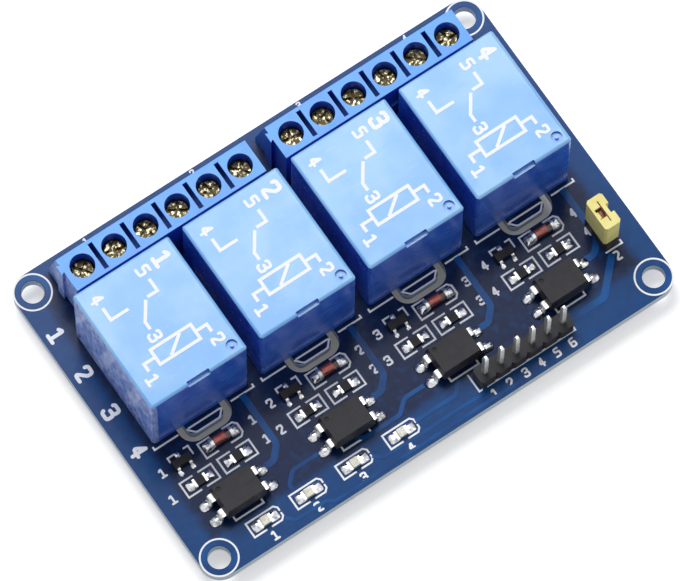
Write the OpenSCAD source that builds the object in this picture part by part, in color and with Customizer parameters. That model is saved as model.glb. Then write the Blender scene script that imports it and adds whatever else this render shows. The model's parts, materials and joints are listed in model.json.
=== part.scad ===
// Four-channel relay module: a blue circuit board with four sealed relays in a row, two six-way
// screw terminal blocks behind them, and the small driver parts, pin header and jumper in front.
// The origin is the centre of the four mounting holes, on the underside of the board. +X runs
// along the row of relays, +Y towards the terminals, and +Z up from the component side.

/* [Board] */
// Thickness of the circuit board
board_t = 1.6; // [1.2:0.1:2]
// Radius of the board's corners
board_corner_r = 3; // [1:0.5:4]
// Board beyond the row of relays at each end
side_margin = 4.225; // [4.1:0.025:8]
// Board behind the terminal blocks
back_margin = 1.45; // [0.5:0.05:4]
// Radius of the four mounting holes
mount_hole_r = 1.6; // [1.3:0.05:1.8]
// From a mounting hole to the end of the board
mount_edge_x = 2.75; // [2.4:0.05:3]
// From a mounting hole to the front or back edge of the board
mount_edge_y = 2.8; // [2.4:0.05:3.4]

/* [Isolation slots] */
// Width of the milled slot round each common pin
slot_w = 1.15; // [0.8:0.05:1.4]
// Outer width of each U-shaped slot
slot_span = 8; // [7:0.25:9]
// How far a slot reaches out in front of its relay
slot_reach = 2.85; // [2:0.05:4]
// How far the arms of a slot run back under the relay
slot_arm = 6; // [4:0.25:8]
// Outer radius of the corners of a slot
slot_corner_r = 2.2; // [1.6:0.1:3]

/* [Relays] */
// Width of one relay
relay_w = 15.4; // [15:0.1:17]
// Length of one relay, from front to back
relay_l = 19.1; // [18.5:0.1:21]
// Height of a relay above the board
relay_h = 15.5; // [15:0.1:18]
// Gap between neighbouring relays
relay_gap = 2.05; // [0.5:0.05:5]
// Wall of the relay's cover
relay_wall = 0.8; // [0.6:0.05:1]
// Radius of the cover's upright edges
relay_side_r = 0.6; // [0.3:0.05:1]
// Radius of the cover's top edges
relay_top_r = 0.45; // [0.2:0.05:0.8]
// Height of the feet that a relay stands on
relay_lift = 0.3; // [0.2:0.05:0.6]
// Thickness of the relay's moulded base
relay_base_t = 1.6; // [1.2:0.1:2]
// Width of the notch in the top front edge of the cover
notch_w = 3.5; // [2.5:0.1:4.5]
// How far that notch goes in from the front
notch_in = 0.6; // [0.5:0.1:1.2]
// How far that notch goes down from the top
notch_down = 0.8; // [0.6:0.1:2]
// Radius of the round moulding mark on the cover
mark_r = 0.8; // [0.5:0.05:1]
// From a relay's sides to its outer pins
relay_pin_edge = 1.7; // [1.5:0.1:2]

/* [Relay mechanism] */
// Thickness of the steel yoke
yoke_t = 1; // [0.8:0.05:1.2]
// Room for the leaf spring in front of the yoke
yoke_front_gap = 1.1; // [1:0.05:1.3]
// Height left for the armature and contacts above the pole
head_room = 3.7; // [3.5:0.05:4.5]
// Radius of the coil's iron core
core_r = 1.5; // [1:0.05:1.7]
// Width of the coil former's end plates
bobbin_w = 8.6; // [8:0.1:9]
// Length of the coil former's end plates, from front to back
bobbin_l = 8.4; // [7.6:0.1:9]
// Thickness of the armature
armature_t = 1; // [0.8:0.05:1.1]
// Thickness of the contact leaf
leaf_t = 0.2; // [0.15:0.05:0.3]
// Width of the contact leaf
leaf_w = 4.6; // [3:0.1:5.5]
// Radius of the contact buttons
button_r = 0.9; // [0.6:0.05:1]
// Height of a contact button
button_h = 0.3; // [0.2:0.05:0.4]
// Angle at which the armature stands open
armature_open = 2.5; // [1.5:0.1:2.8]
// Angle that is left when the contacts have closed
armature_closed = 0.2; // [0.1:0.05:0.4]

/* [Terminals] */
// Distance between neighbouring terminals
pole_pitch = 5.08; // [5:0.01:5.2]
// Gap between the two terminal blocks
block_gap = 3.2; // [1:0.1:4]
// Gap between the relays and the terminal blocks
block_relay_gap = 1.9; // [1:0.1:4]
// Height of a terminal block
block_h = 10; // [9.8:0.1:12]
// Depth of a terminal block where it stands on the board
block_base_d = 7.6; // [7.4:0.1:9]
// Depth of the top face of a terminal block
block_top_d = 5.25; // [5:0.05:6]
// Height of the upright foot below the sloping wire side
block_foot_h = 1; // [0.5:0.1:1.1]
// Floor of the terminal block under the metal frames
block_floor = 0.6; // [0.5:0.05:0.8]
// From the front of a block to the screws' axes
screw_y = 2.6; // [2.5:0.05:2.8]
// Radius of the screw wells
well_r = 1.75; // [1.7:0.01:1.8]
// Radius of a screw's head
screw_head_r = 1.6; // [1.5:0.01:1.62]
// Thickness of a screw's head
screw_head_h = 1; // [0.8:0.05:1.1]
// Depth of the screw heads below the top of the block
screw_sunk = 2; // [1.8:0.05:2.1]
// Radius of a screw's thread
screw_r = 1.25; // [1:0.01:1.3]
// Width of the slots in a screw's head
screw_slot_w = 0.5; // [0.3:0.05:0.7]
// Travel of the clamping plates
clamp_travel = 2.2; // [2:0.05:2.2]
// Thickness of a clamping plate
clamp_t = 0.35; // [0.25:0.05:0.4]
// Thickness of a metal frame's floor and sides
frame_t = 0.5; // [0.4:0.05:0.6]
// Thickness of a metal frame's threaded top
frame_top_t = 0.7; // [0.6:0.05:0.8]
// Thickness of the contact plate on a metal frame's floor
contact_plate_t = 0.3; // [0.2:0.05:0.35]
// Width of the wire way through a metal frame
frame_way_w = 3; // [2.8:0.05:3.2]
// Length of a metal frame along the wire
frame_l = 3.6; // [3:0.1:3.6]
// Width of the dark slots between the screw wells
rib_slot_w = 0.7; // [0.4:0.05:0.8]
// Length of those slots
rib_slot_l = 4.25; // [3:0.05:4.3]
// Depth of those slots
rib_slot_d = 3.5; // [2:0.1:4]

/* [Optocouplers] */
// Length of an optocoupler's body between its leads
opto_w = 6.4; // [6:0.1:6.8]
// Width of an optocoupler's body
opto_d = 4.6; // [4.4:0.1:5]
// Height of an optocoupler's body
opto_h = 3.3; // [2.8:0.1:3.6]
// Distance between the tips of opposite leads
opto_span = 9.5; // [9.4:0.1:10.6]
// Distance between leads on one side
opto_pitch = 2.54; // [2.5:0.01:2.6]
// Width of a lead
opto_lead_w = 1.2; // [0.8:0.05:1.4]
// Thickness of a lead
opto_lead_t = 0.25; // [0.2:0.01:0.35]

/* [Small parts] */
// Length of a transistor's body
transistor_w = 2.9; // [2.7:0.05:3.1]
// Width of a transistor's body
transistor_d = 1.3; // [1.2:0.05:1.5]
// Height of a transistor's body
transistor_h = 0.95; // [0.8:0.05:1.1]
// Length of a glass diode with its caps
diode_l = 3.5; // [3.3:0.05:3.8]
// Radius of a diode's caps
diode_r = 0.75; // [0.65:0.01:0.8]
// Length of a chip resistor or a chip light
chip_l = 2; // [1.8:0.05:2.2]
// Width of a chip resistor or a chip light
chip_w = 1.25; // [1.1:0.05:1.35]
// Height of a chip resistor
chip_h = 0.5; // [0.4:0.05:0.65]
// Length of the metal ends of a chip
chip_end = 0.35; // [0.2:0.05:0.45]
// Height of the lens of a chip light
lens_h = 0.45; // [0.3:0.05:0.6]

/* [Pin headers] */
// Distance between the pins
pin_pitch = 2.54; // [2.5:0.01:2.6]
// Pins in the input header
pin_count = 6; // [4:1:8]
// Width and height of the black housing
header_w = 2.5; // [2.3:0.05:2.7]
// Side of a square pin
pin_w = 0.64; // [0.5:0.01:0.68]
// Height of the input pins above the board
pin_h = 8.6; // [7:0.1:11]
// Height of the jumper's pins above the board
jumper_pin_h = 7.5; // [7:0.1:7.6]
// From the front edge of the board to the row of input pins
header_edge = 3.8; // [3:0.05:5]
// Where the middle of the input header stands along the board
header_x = 14.6; // [13:0.1:16]

/* [Jumper cap] */
// Width of the jumper cap
cap_w = 2.55; // [2.5:0.05:2.8]
// Length of the jumper cap
cap_l = 4.9; // [4.8:0.05:5.05]
// Height of the jumper cap
cap_h = 6; // [5.9:0.05:6.5]
// From the right-hand end of the board to the jumper
jumper_edge = 5; // [4.4:0.05:5.4]

/* [Pins and solder] */
// Length of the pins below the board
tail_l = 1.8; // [1.4:0.05:2.5]
// Height of a solder cone under the board
solder_h = 1; // [0.6:0.05:1.1]
// Width of the solder ring round a hole
solder_ring = 0.5; // [0.3:0.05:0.6]

/* [Hidden] */
$fn = 48;
channels = 4;
block_poles = 6;
poles = 2 * block_poles;

eps = 0.01; // overshoot of a cut past the face it opens

// Gaps between the rows of parts, from front to back
header_opto_gap = 1.15;
opto_chip_gap = 1.725;
chip_diode_gap = 1.925;
diode_slot_gap = 0.7;

// Places of a channel's small parts, from the middle of its relay
transistor_dx = -5.85;
diode_dx = 0.3;
chip_dx = [-5.325, 0.8];
opto_dx = -2.225;
transistor_dy = 0.25;
light_x = [-27.4, -20.4, -12.95, -5.35];
light_dy = -0.25;
block_shift = 0.18;
jumper_dy = 3.5;

// The rows from front to back set the width of the board
depth_to_opto = header_edge + header_w / 2 + header_opto_gap + opto_d / 2;
depth_to_chips = depth_to_opto + opto_d / 2 + opto_chip_gap + chip_w / 2;
depth_to_diodes = depth_to_chips + chip_w / 2 + chip_diode_gap + diode_r;
depth_to_slots = depth_to_diodes + diode_r + diode_slot_gap;
depth_to_relays = depth_to_slots + slot_reach;
depth_to_blocks = depth_to_relays + relay_l + block_relay_gap;
board_w = depth_to_blocks + block_base_d + back_margin;
front = -board_w / 2;

header_y = front + header_edge;
opto_y = front + depth_to_opto;
chips_y = front + depth_to_chips;
diodes_y = front + depth_to_diodes;
relay_y = front + depth_to_relays;
block_y = front + depth_to_blocks;

relay_pitch = relay_w + relay_gap;
block_l = block_poles * pole_pitch;
relay_row = channels * relay_pitch - relay_gap;
block_row = 2 * block_l + block_gap + 2 * block_shift;
board_l = max(relay_row, block_row) + 2 * side_margin;

function relay_x(channel) = (channel - (channels + 1) / 2) * relay_pitch;
function block_side(pole) = pole > block_poles ? 1 : -1;
function block_x(side) = block_shift + side * (block_l + block_gap) / 2;
function pole_x(pole) =
    block_x(block_side(pole)) + ((pole - 1) % block_poles - (block_poles - 1) / 2) * pole_pitch;
function pin_x(pin, count) = (pin - (count - 1) / 2) * pin_pitch;

// Relay mechanism, from the front of the relay's cover and from the top of the board
pin_out = relay_w / 2 - relay_pin_edge;
room_w = relay_w - 2 * relay_wall;
room_top = relay_h - relay_wall;
base_top = relay_lift + relay_base_t;
yoke_y = relay_wall + yoke_front_gap;
common_y = yoke_y + yoke_t / 2;
coil_pin_set = 2;
coil_pin_y = common_y + coil_pin_set;
contact_pin_back = 1.7;
contact_pin_y = relay_l - relay_wall - contact_pin_back;
pole_z = room_top - head_room;
pole_t = 0.7;
pole_lip = 1.2;
flange_t = 0.7;
bobbin_gap = 0.2;
bobbin_front = yoke_y + yoke_t + bobbin_gap;
bobbin_back = bobbin_front + bobbin_l;
contact_set = 1.2;
contact_y = contact_pin_y - contact_set;
arm_half = 1.1;
strip_t = 0.4;
strip_w = 2.1;
coil_y = bobbin_front + bobbin_l / 2;
coil_z = base_top + yoke_t;
yoke_inset = 0.8;
yoke_w = bobbin_w - 2 * yoke_inset;
coil_wall = 0.6;
coil_inset = 0.4;
coil_r = min(bobbin_w, bobbin_l) / 2 - coil_inset;
leaf_gap = 0.55;
contact_clearance = 0.03;
pivot = [yoke_y, pole_z];
lever = contact_y - pivot.x;
upper_contact_z = pole_z + lever * sin(armature_open)
    + (armature_t + leaf_t + button_h) * cos(armature_open)
    + button_r * sin(armature_open) + contact_clearance;
lower_contact_z = pole_z + lever * sin(armature_closed)
    + (armature_t - button_h) * cos(armature_closed)
    - button_r * sin(armature_closed) - contact_clearance;
coil_pin_r = 0.3;
common_pin = [1.2, 0.6];
contact_pin = [strip_t, 0.8];

// Terminal mechanism, from the front of the block and from the top of the board
frame_w = frame_way_w + 2 * frame_t;
way_z = block_floor + frame_t + contact_plate_t;
clamp_z = way_z + clamp_travel + 0.05;
frame_top_z = clamp_z + clamp_t + 0.05;
frame_h = frame_top_z + frame_top_t - block_floor;
screw_clearance = 0.05;
clamp_clearance = 0.1;
terminal_pin_w = 0.9;
frame_front = screw_y - frame_l / 2;

// Jumper cap, from the middle of its two pins and from the top of the board
cap_roof = 0.6;
cap_top = header_w + cap_h;
slit_l = 3.3;
clip_t = 0.2;
clip_gap = 0.04;
clip_z = jumper_pin_h + 0.1;
finger_w = 1;

// Holes in the board: [x, y, radius of the hole, size of the pin in it]
block_holes = [for (p = [1:poles]) [pole_x(p), block_y + screw_y, 0.7, [terminal_pin_w, terminal_pin_w]]];
relay_holes = [
    for (c = [1:channels]) each [
        [relay_x(c), relay_y + common_y, 0.8, common_pin],
        [relay_x(c) - pin_out, relay_y + contact_pin_y, 0.6, contact_pin],
        [relay_x(c) + pin_out, relay_y + contact_pin_y, 0.6, contact_pin]
    ]
];
coil_holes = [
    for (c = [1:channels], side = [-1, 1])
        [relay_x(c) + side * pin_out, relay_y + coil_pin_y, 0.5, coil_pin_r]
];
jumper_x = board_l / 2 - jumper_edge;
jumper_y = opto_y + jumper_dy;
header_holes = concat(
    [for (p = [0:pin_count - 1]) [header_x + pin_x(p, pin_count), header_y, 0.5, [pin_w, pin_w]]],
    [for (p = [0:1]) [jumper_x, jumper_y + pin_x(p, 2), 0.5, [pin_w, pin_w]]]
);
pin_holes = concat(block_holes, relay_holes, coil_holes, header_holes);

// ---------------------------------------------------------------- shared shapes

// A rectangle centred on the origin, with round corners
module rounded_rect(size, r) {
    square([size.x - 2 * r, size.y], center = true);
    square([size.x, size.y - 2 * r], center = true);
    for (x = [-1, 1], y = [-1, 1])
        translate([x * (size.x / 2 - r), y * (size.y / 2 - r)])
            circle(r);
}

// A rectangle that stands on the X axis, with round upper corners
module round_topped(w, h, r) {
    translate([-w / 2, 0])
        square([w, h - r]);
    translate([r - w / 2, 0])
        square([w - 2 * r, h]);
    for (side = [-1, 1])
        translate([side * (w / 2 - r), h - r])
            circle(r);
}

// Extrudes an X-Z outline along Y, from y = 0 back by the given depth
module along_y(depth) {
    translate([0, depth, 0])
        rotate([90, 0, 0])
            linear_extrude(depth)
                children();
}

// Extrudes a Y-Z outline along X, centred on x = 0
module across_x(width) {
    translate([-width / 2, 0, 0])
        rotate([90, 0, 90])
            linear_extrude(width)
                children();
}

// A box that stands on z = 0 with its front at y = 0, and round upright and upper edges
module soft_box(size, side_r, top_r) {
    intersection() {
        translate([0, size.y / 2, 0])
            linear_extrude(size.z)
                rounded_rect([size.x, size.y], side_r);
        along_y(size.y)
            round_topped(size.x, size.z, top_r);
        translate([0, size.y / 2, 0])
            across_x(size.x)
                round_topped(size.y, size.z, top_r);
    }
}

// A box centred in X, from y = y0 to y1 and z = z0 to z1
module slab(w, y0, y1, z0, z1) {
    translate([-w / 2, y0, z0])
        cube([w, y1 - y0, z1 - z0]);
}

// A moulded chip body: both pairs of sides lean in above and below the parting line
module moulded_body(size, lean) {
    module waisted(w) {
        polygon([
            [lean - w / 2, 0], [-w / 2, size.z / 2], [lean - w / 2, size.z],
            [w / 2 - lean, size.z], [w / 2, size.z / 2], [w / 2 - lean, 0]
        ]);
    }
    intersection() {
        translate([0, -size.y / 2, 0])
            along_y(size.y)
                waisted(size.x);
        across_x(size.x)
            waisted(size.y);
    }
}

function unit(v) = v / norm(v);
function left_of(v) = [-v.y, v.x];
function turned(v, angle) = [v.x * cos(angle) - v.y * sin(angle), v.x * sin(angle) + v.y * cos(angle)];
function turn_between(a, b) = atan2(a.x * b.y - a.y * b.x, a * b);
function bend(a, b, c, radius, off) =
    let(
        before = unit(b - a),
        angle = turn_between(before, unit(c - b)),
        way = sign(angle),
        centre = b - before * radius * tan(abs(angle) / 2) + left_of(before) * way * radius
    )
    [for (step = [0:4]) centre - turned(left_of(before), angle * step / 4) * way * (radius - way * off)];
function strip_side(path, radius, off) = concat(
    [path[0] + left_of(unit(path[1] - path[0])) * off],
    [for (i = [1:1:len(path) - 2]) each bend(path[i - 1], path[i], path[i + 1], radius, off)],
    [path[len(path) - 1] + left_of(unit(path[len(path) - 1] - path[len(path) - 2])) * off]
);
function reversed(points) = [for (i = [len(points) - 1:-1:0]) points[i]];

// The edge view of a metal strip of thickness t, bent along a path with the given inner radius
module bent_strip(path, t, inner_r) {
    polygon(concat(
        strip_side(path, inner_r + t / 2, t / 2),
        reversed(strip_side(path, inner_r + t / 2, -t / 2))
    ));
}

module at_relay(channel) {
    translate([relay_x(channel), relay_y, board_t])
        children();
}

module at_each_relay() {
    for (c = [1:channels])
        at_relay(c)
            children();
}

module at_pole(pole) {
    translate([pole_x(pole), block_y, board_t])
        children();
}

// ---------------------------------------------------------------- board

// The outline of one U-shaped isolation slot, from the front of its relay
module slot_outline() {
    inner = slot_span - 2 * slot_w;
    difference() {
        translate([0, slot_arm / 2 - slot_reach / 2])
            rounded_rect([slot_span, slot_arm + slot_reach], slot_corner_r);
        translate([0, slot_w + slot_arm / 2 - slot_reach / 2])
            rounded_rect([inner, slot_arm + slot_reach], slot_corner_r - slot_w);
        translate([-slot_span / 2, slot_arm - slot_corner_r])
            square([slot_span, slot_corner_r + eps]);
    }
    for (side = [-1, 1])
        translate([side * (slot_span - slot_w) / 2, slot_arm - slot_corner_r])
            circle(slot_w / 2);
}

module circuit_board() {
    color([0.04, 0.16, 0.42])
        linear_extrude(board_t)
            difference() {
                rounded_rect([board_l, board_w], board_corner_r);
                for (x = [-1, 1], y = [-1, 1])
                    translate([x * (board_l / 2 - mount_edge_x), y * (board_w / 2 - mount_edge_y)])
                        circle(mount_hole_r);
                for (hole = pin_holes)
                    translate([hole.x, hole.y])
                        circle(hole[2]);
                for (c = [1:channels])
                    translate([relay_x(c), relay_y])
                        slot_outline();
            }
}

// Solder that fills a plated hole and runs down the pin as a cone
module solder_joint(hole_r, pin) {
    round_pin = is_num(pin);
    pin_reach = round_pin ? pin : norm(pin) / 2;
    difference() {
        union() {
            cylinder(r = hole_r, h = board_t);
            translate([0, 0, -solder_h])
                cylinder(r1 = pin_reach + 0.15, r2 = hole_r + solder_ring, h = solder_h);
        }
        translate([0, 0, -solder_h - eps])
            linear_extrude(solder_h + board_t + 2 * eps)
                if (round_pin)
                    circle(pin);
                else
                    square(pin, center = true);
    }
}

module solder_joints() {
    color([0.75, 0.76, 0.78])
        for (hole = pin_holes)
            translate([hole.x, hole.y, 0])
                solder_joint(hole[2], hole[3]);
}

// ---------------------------------------------------------------- terminal blocks

// The wire side slopes from the foot up to the back of the top face
module block_profile() {
    polygon([
        [0, 0], [block_base_d, 0], [block_base_d, block_foot_h], [block_top_d, block_h], [0, block_h]
    ]);
}

// Depth of the sloping wire side at a height above the board
function wire_side_y(z) =
    block_base_d - (block_base_d - block_top_d) * (z - block_foot_h) / (block_h - block_foot_h);

// What is cut away for one pole: chamber, flared wire mouth, screw well, pin slot and front recess
module pole_cuts() {
    chamber_h = frame_h + block_floor;
    flare = 0.5;
    mouth_y = wire_side_y(chamber_h);
    recess_w = 1.2;
    recess_d = 0.4;
    recess_low = 1;
    recess_high = 1.5;
    slab(frame_w, frame_front, block_base_d + eps, block_floor, chamber_h);
    across_x(frame_w)
        polygon([
            [mouth_y - 2 * flare, chamber_h - eps], [mouth_y + flare, chamber_h - eps],
            [mouth_y + flare, chamber_h + flare], [wire_side_y(chamber_h + flare), chamber_h + flare]
        ]);
    translate([0, 0, -eps])
        slab(terminal_pin_w, screw_y - terminal_pin_w / 2, block_base_d + eps, 0, block_floor + 2 * eps);
    translate([0, screw_y, chamber_h - eps])
        cylinder(r = well_r, h = block_h - chamber_h + 2 * eps);
    slab(recess_w, -eps, recess_d, chamber_h - recess_low, block_h - recess_high);
}

// The upright rib on a block's left end that widens away from it
module end_rib() {
    rib_out = 0.45;
    root_w = 1;
    tip_w = 1.5;
    rib_y = block_top_d - tip_w;
    translate([eps - block_l / 2, rib_y, 0])
        linear_extrude(block_h)
            polygon([[0, -root_w / 2], [0, root_w / 2], [-rib_out, tip_w / 2], [-rib_out, -tip_w / 2]]);
}

module terminal_housing(side) {
    color([0.18, 0.5, 0.92])
        translate([block_x(side), block_y, board_t])
            difference() {
                union() {
                    across_x(block_l)
                        block_profile();
                    end_rib();
                }
                for (k = [0:block_poles - 1])
                    translate([(k - (block_poles - 1) / 2) * pole_pitch, 0, 0])
                        pole_cuts();
                for (k = [1:block_poles - 1])
                    translate([(k - block_poles / 2) * pole_pitch, 0, 0])
                        slab(
                            rib_slot_w, screw_y - rib_slot_l / 2, screw_y + rib_slot_l / 2,
                            block_h - rib_slot_d, block_h + eps
                        );
            }
}

// One folded metal frame per pole, with its threaded top and a hole in its floor for the pin
module terminal_frames() {
    pin_front = screw_y - terminal_pin_w / 2;
    color([0.7, 0.7, 0.7])
        for (p = [1:poles])
            at_pole(p)
                difference() {
                    slab(frame_w, frame_front, frame_front + frame_l, block_floor, block_floor + frame_h);
                    slab(
                        frame_way_w, frame_front - eps, frame_front + frame_l + eps,
                        block_floor + frame_t, frame_top_z
                    );
                    slab(
                        terminal_pin_w, pin_front, pin_front + terminal_pin_w,
                        block_floor - eps, block_floor + frame_t + eps
                    );
                    translate([0, screw_y, frame_top_z - eps])
                        cylinder(r = screw_r + screw_clearance, h = frame_top_t + 2 * eps);
                }
}

// The contact plate that the wire is pressed onto, with the solder pin below it
module terminal_pins() {
    pin_front = screw_y - terminal_pin_w / 2;
    color([0.85, 0.85, 0.82])
        for (p = [1:poles])
            at_pole(p) {
                slab(frame_way_w, frame_front, frame_front + frame_l, block_floor + frame_t, way_z);
                slab(
                    terminal_pin_w, pin_front, pin_front + terminal_pin_w,
                    -board_t - tail_l, way_z - eps
                );
            }
}

// A plate that the screw presses down on the wire, with turned-down ends
module wire_clamp(pole) {
    half = frame_l / 2 - 0.3;
    color([0.85, 0.72, 0.4])
        at_pole(pole)
            translate([0, screw_y, clamp_z + clamp_t / 2])
                across_x(frame_way_w - 2 * clamp_clearance)
                    square([2 * half, clamp_t], center = true);
}

// Shaft, head with a bevelled rim, and crossed driver slots, each pole's turned another way
module terminal_screw(pole) {
    head_z = block_h - screw_sunk - screw_head_h;
    screw_slot_d = 0.25;
    slot_size = [2 * (screw_head_r + eps), screw_slot_w, 2 * screw_slot_d + eps];
    tip_z = clamp_z + clamp_t + 0.02;
    bevel = 0.2;
    color([0.78, 0.72, 0.55])
        at_pole(pole)
            translate([0, screw_y, 0])
                rotate(pole * 37)
                    difference() {
                        rotate_extrude()
                            polygon([
                                [0, tip_z], [screw_r - bevel, tip_z], [screw_r, tip_z + bevel],
                                [screw_r, head_z], [screw_head_r, head_z],
                                [screw_head_r, head_z + screw_head_h - bevel],
                                [screw_head_r - bevel, head_z + screw_head_h], [0, head_z + screw_head_h]
                            ]);
                        for (turn = [0, 90])
                            rotate(turn)
                                translate([0, 0, head_z + screw_head_h - screw_slot_d])
                                    cube(slot_size, center = true);
                    }
}

// ---------------------------------------------------------------- relays

module relay_cover(channel) {
    mark_edge = 1.55;
    mark_deep = 0.4;
    color([0.2, 0.52, 0.95])
        at_relay(channel)
            difference() {
                translate([0, 0, relay_lift])
                    soft_box([relay_w, relay_l, relay_h - relay_lift], relay_side_r, relay_top_r);
                difference() {
                    slab(room_w, relay_wall, relay_l - relay_wall, relay_lift - eps, room_top);
                    slab(
                        notch_w + 2 * relay_wall, 0, notch_in + relay_wall,
                        relay_h - notch_down - relay_wall, relay_h
                    );
                }
                slab(notch_w, -eps, notch_in, relay_h - notch_down, relay_h + eps);
                translate([relay_w / 2 - mark_edge, mark_edge, relay_h - mark_deep])
                    difference() {
                        cylinder(r = mark_r, h = mark_deep + eps);
                        cylinder(r = mark_r / 3, h = mark_deep + eps);
                    }
            }
}

// Plate with four feet, holes for the pins and a back wall that the contact strips stand against
module relay_bases() {
    wall_front = contact_pin_y + contact_pin.y / 2;
    foot = 1.2;
    back_wall_t = 0.9;
    back_wall_drop = 3;
    color([0.16, 0.44, 0.85])
        at_each_relay()
            difference() {
                union() {
                    slab(room_w, relay_wall, relay_l - relay_wall, relay_lift, base_top);
                    slab(
                        room_w, wall_front, wall_front + back_wall_t,
                        base_top - eps, lower_contact_z - back_wall_drop
                    );
                    for (x = [-1, 1], y = [relay_wall, relay_l - relay_wall - foot])
                        translate([x * (room_w - foot) / 2, 0, 0])
                            slab(foot, y, y + foot, 0, relay_lift + eps);
                }
                slab(
                    common_pin.x, common_y - common_pin.y / 2, common_y + common_pin.y / 2,
                    relay_lift - eps, base_top + eps
                );
                for (side = [-1, 1]) {
                    translate([side * pin_out, coil_pin_y, relay_lift - eps])
                        cylinder(r = coil_pin_r, h = relay_base_t + 2 * eps);
                    translate([side * pin_out, 0, 0])
                        slab(
                            contact_pin.x, contact_pin_y - contact_pin.y / 2, wall_front,
                            relay_lift - eps, base_top + eps
                        );
                }
            }
}

// The L-shaped yoke ends in the common pin, and the core with its pole disc is riveted into it
module relay_yokes() {
    middle = yoke_t / 2;
    color([0.62, 0.62, 0.64])
        at_each_relay() {
            difference() {
                union() {
                    across_x(yoke_w)
                        bent_strip(
                            [[common_y, pole_z], [common_y, base_top + middle],
                             [bobbin_back, base_top + middle]],
                            yoke_t, 0.2
                        );
                    slab(
                        common_pin.x, common_y - common_pin.y / 2, common_y + common_pin.y / 2,
                        -board_t - tail_l, base_top + yoke_t
                    );
                }
                translate([0, coil_y, base_top - eps])
                    cylinder(r = core_r, h = yoke_t + 2 * eps);
            }
            translate([0, coil_y, 0]) {
                translate([0, 0, base_top])
                    cylinder(r = core_r, h = pole_z - base_top);
                translate([0, 0, pole_z - pole_t])
                    cylinder(r = core_r + pole_lip, h = pole_t);
            }
        }
}

// Spool with square flanges, and a bar at the bottom that carries the two coil pins
module relay_bobbins() {
    spool_h = pole_z - pole_t - coil_z;
    bar_edge = 0.6;
    color([0.9, 0.9, 0.86])
        at_each_relay()
            difference() {
                union() {
                    slab(bobbin_w, bobbin_front, bobbin_back, coil_z, coil_z + flange_t);
                    slab(
                        bobbin_w, bobbin_front, bobbin_back,
                        coil_z + spool_h - flange_t, coil_z + spool_h
                    );
                    translate([0, coil_y, coil_z])
                        cylinder(r = core_r + coil_wall, h = spool_h);
                    slab(
                        2 * (pin_out + bar_edge), coil_pin_y - bar_edge, coil_pin_y + bar_edge,
                        coil_z, coil_z + flange_t
                    );
                }
                translate([0, coil_y, coil_z - eps])
                    cylinder(r = core_r, h = spool_h + 2 * eps);
                for (side = [-1, 1])
                    translate([side * pin_out, coil_pin_y, coil_z - eps])
                        cylinder(r = coil_pin_r, h = flange_t + 2 * eps);
            }
}

module relay_windings() {
    wound_h = pole_z - pole_t - coil_z - 2 * flange_t;
    color([0.72, 0.35, 0.12])
        at_each_relay()
            translate([0, coil_y, coil_z + flange_t])
                difference() {
                    cylinder(r = coil_r, h = wound_h);
                    translate([0, 0, -eps])
                        cylinder(r = core_r + coil_wall, h = wound_h + 2 * eps);
                }
}

module relay_coil_pins() {
    pin_tip = 0.6;
    color([0.8, 0.8, 0.78])
        at_each_relay()
            for (side = [-1, 1])
                translate([side * pin_out, coil_pin_y, -board_t - tail_l])
                    cylinder(r = coil_pin_r, h = board_t + tail_l + coil_z + flange_t + pin_tip);
}

// A fixed contact: pin, upright strip and an arm that carries the button at height z
module fixed_contact(side, arm_z, button_z) {
    strip_back = contact_pin_y + contact_pin.y / 2;
    translate([side * pin_out, 0, 0])
        slab(
            contact_pin.x, contact_pin_y - contact_pin.y / 2, strip_back,
            -board_t - tail_l, base_top + eps
        );
    translate([side * pin_out, 0, 0])
        slab(strip_t, strip_back - strip_w, strip_back, base_top, arm_z + strip_t);
    arm_edge = 0.2;
    arm_end = button_r + arm_edge;
    translate([side * (pin_out + strip_t / 2 - arm_end) / 2, 0, 0])
        slab(
            pin_out + strip_t / 2 + arm_end, contact_y - arm_half, contact_y + arm_half,
            arm_z, arm_z + strip_t
        );
    translate([0, contact_y, button_z])
        cylinder(r = button_r, h = button_h);
}

module relay_contacts() {
    color([0.85, 0.55, 0.35])
        at_each_relay() {
            fixed_contact(1, lower_contact_z - button_h - strip_t, lower_contact_z - button_h);
            fixed_contact(-1, upper_contact_z + button_h, upper_contact_z);
        }
}

// Turns what is drawn in the closed position up to the open one, about the top edge of the yoke
module armature_lifted() {
    translate([0, pivot.x, pivot.y])
        rotate([armature_open, 0, 0])
            translate([0, -pivot.x, -pivot.y])
                children();
}

module relay_armature(channel) {
    short_of_coil = 0.5;
    color([0.6, 0.6, 0.62])
        at_relay(channel)
            armature_lifted()
                slab(yoke_w, yoke_y, bobbin_back - short_of_coil, pole_z, pole_z + armature_t);
}

// The leaf runs up in front of the yoke and back over the armature to the moving contact
module relay_leaf(channel) {
    leaf_y = yoke_y - leaf_gap - leaf_t / 2;
    leaf_z = pole_z + armature_t + leaf_t / 2;
    leaf_drop = 3.5;
    leaf_past = 0.1;
    rivet_r = 0.5;
    rivet_h = 0.25;
    color([0.86, 0.6, 0.36])
        at_relay(channel)
            armature_lifted() {
                across_x(leaf_w)
                    bent_strip(
                        [[leaf_y, pole_z - leaf_drop], [leaf_y, leaf_z],
                         [contact_y + button_r + leaf_past, leaf_z]],
                        leaf_t, 0.25
                    );
                translate([0, contact_y, pole_z + armature_t - button_h])
                    cylinder(r = button_r, h = leaf_t + 2 * button_h);
                for (side = [-1, 1])
                    translate([side * leaf_w / 4, coil_y, leaf_z])
                        cylinder(r = rivet_r, h = leaf_t / 2 + rivet_h);
            }
}

// ---------------------------------------------------------------- driver parts

opto_lift = 0.2;

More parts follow.
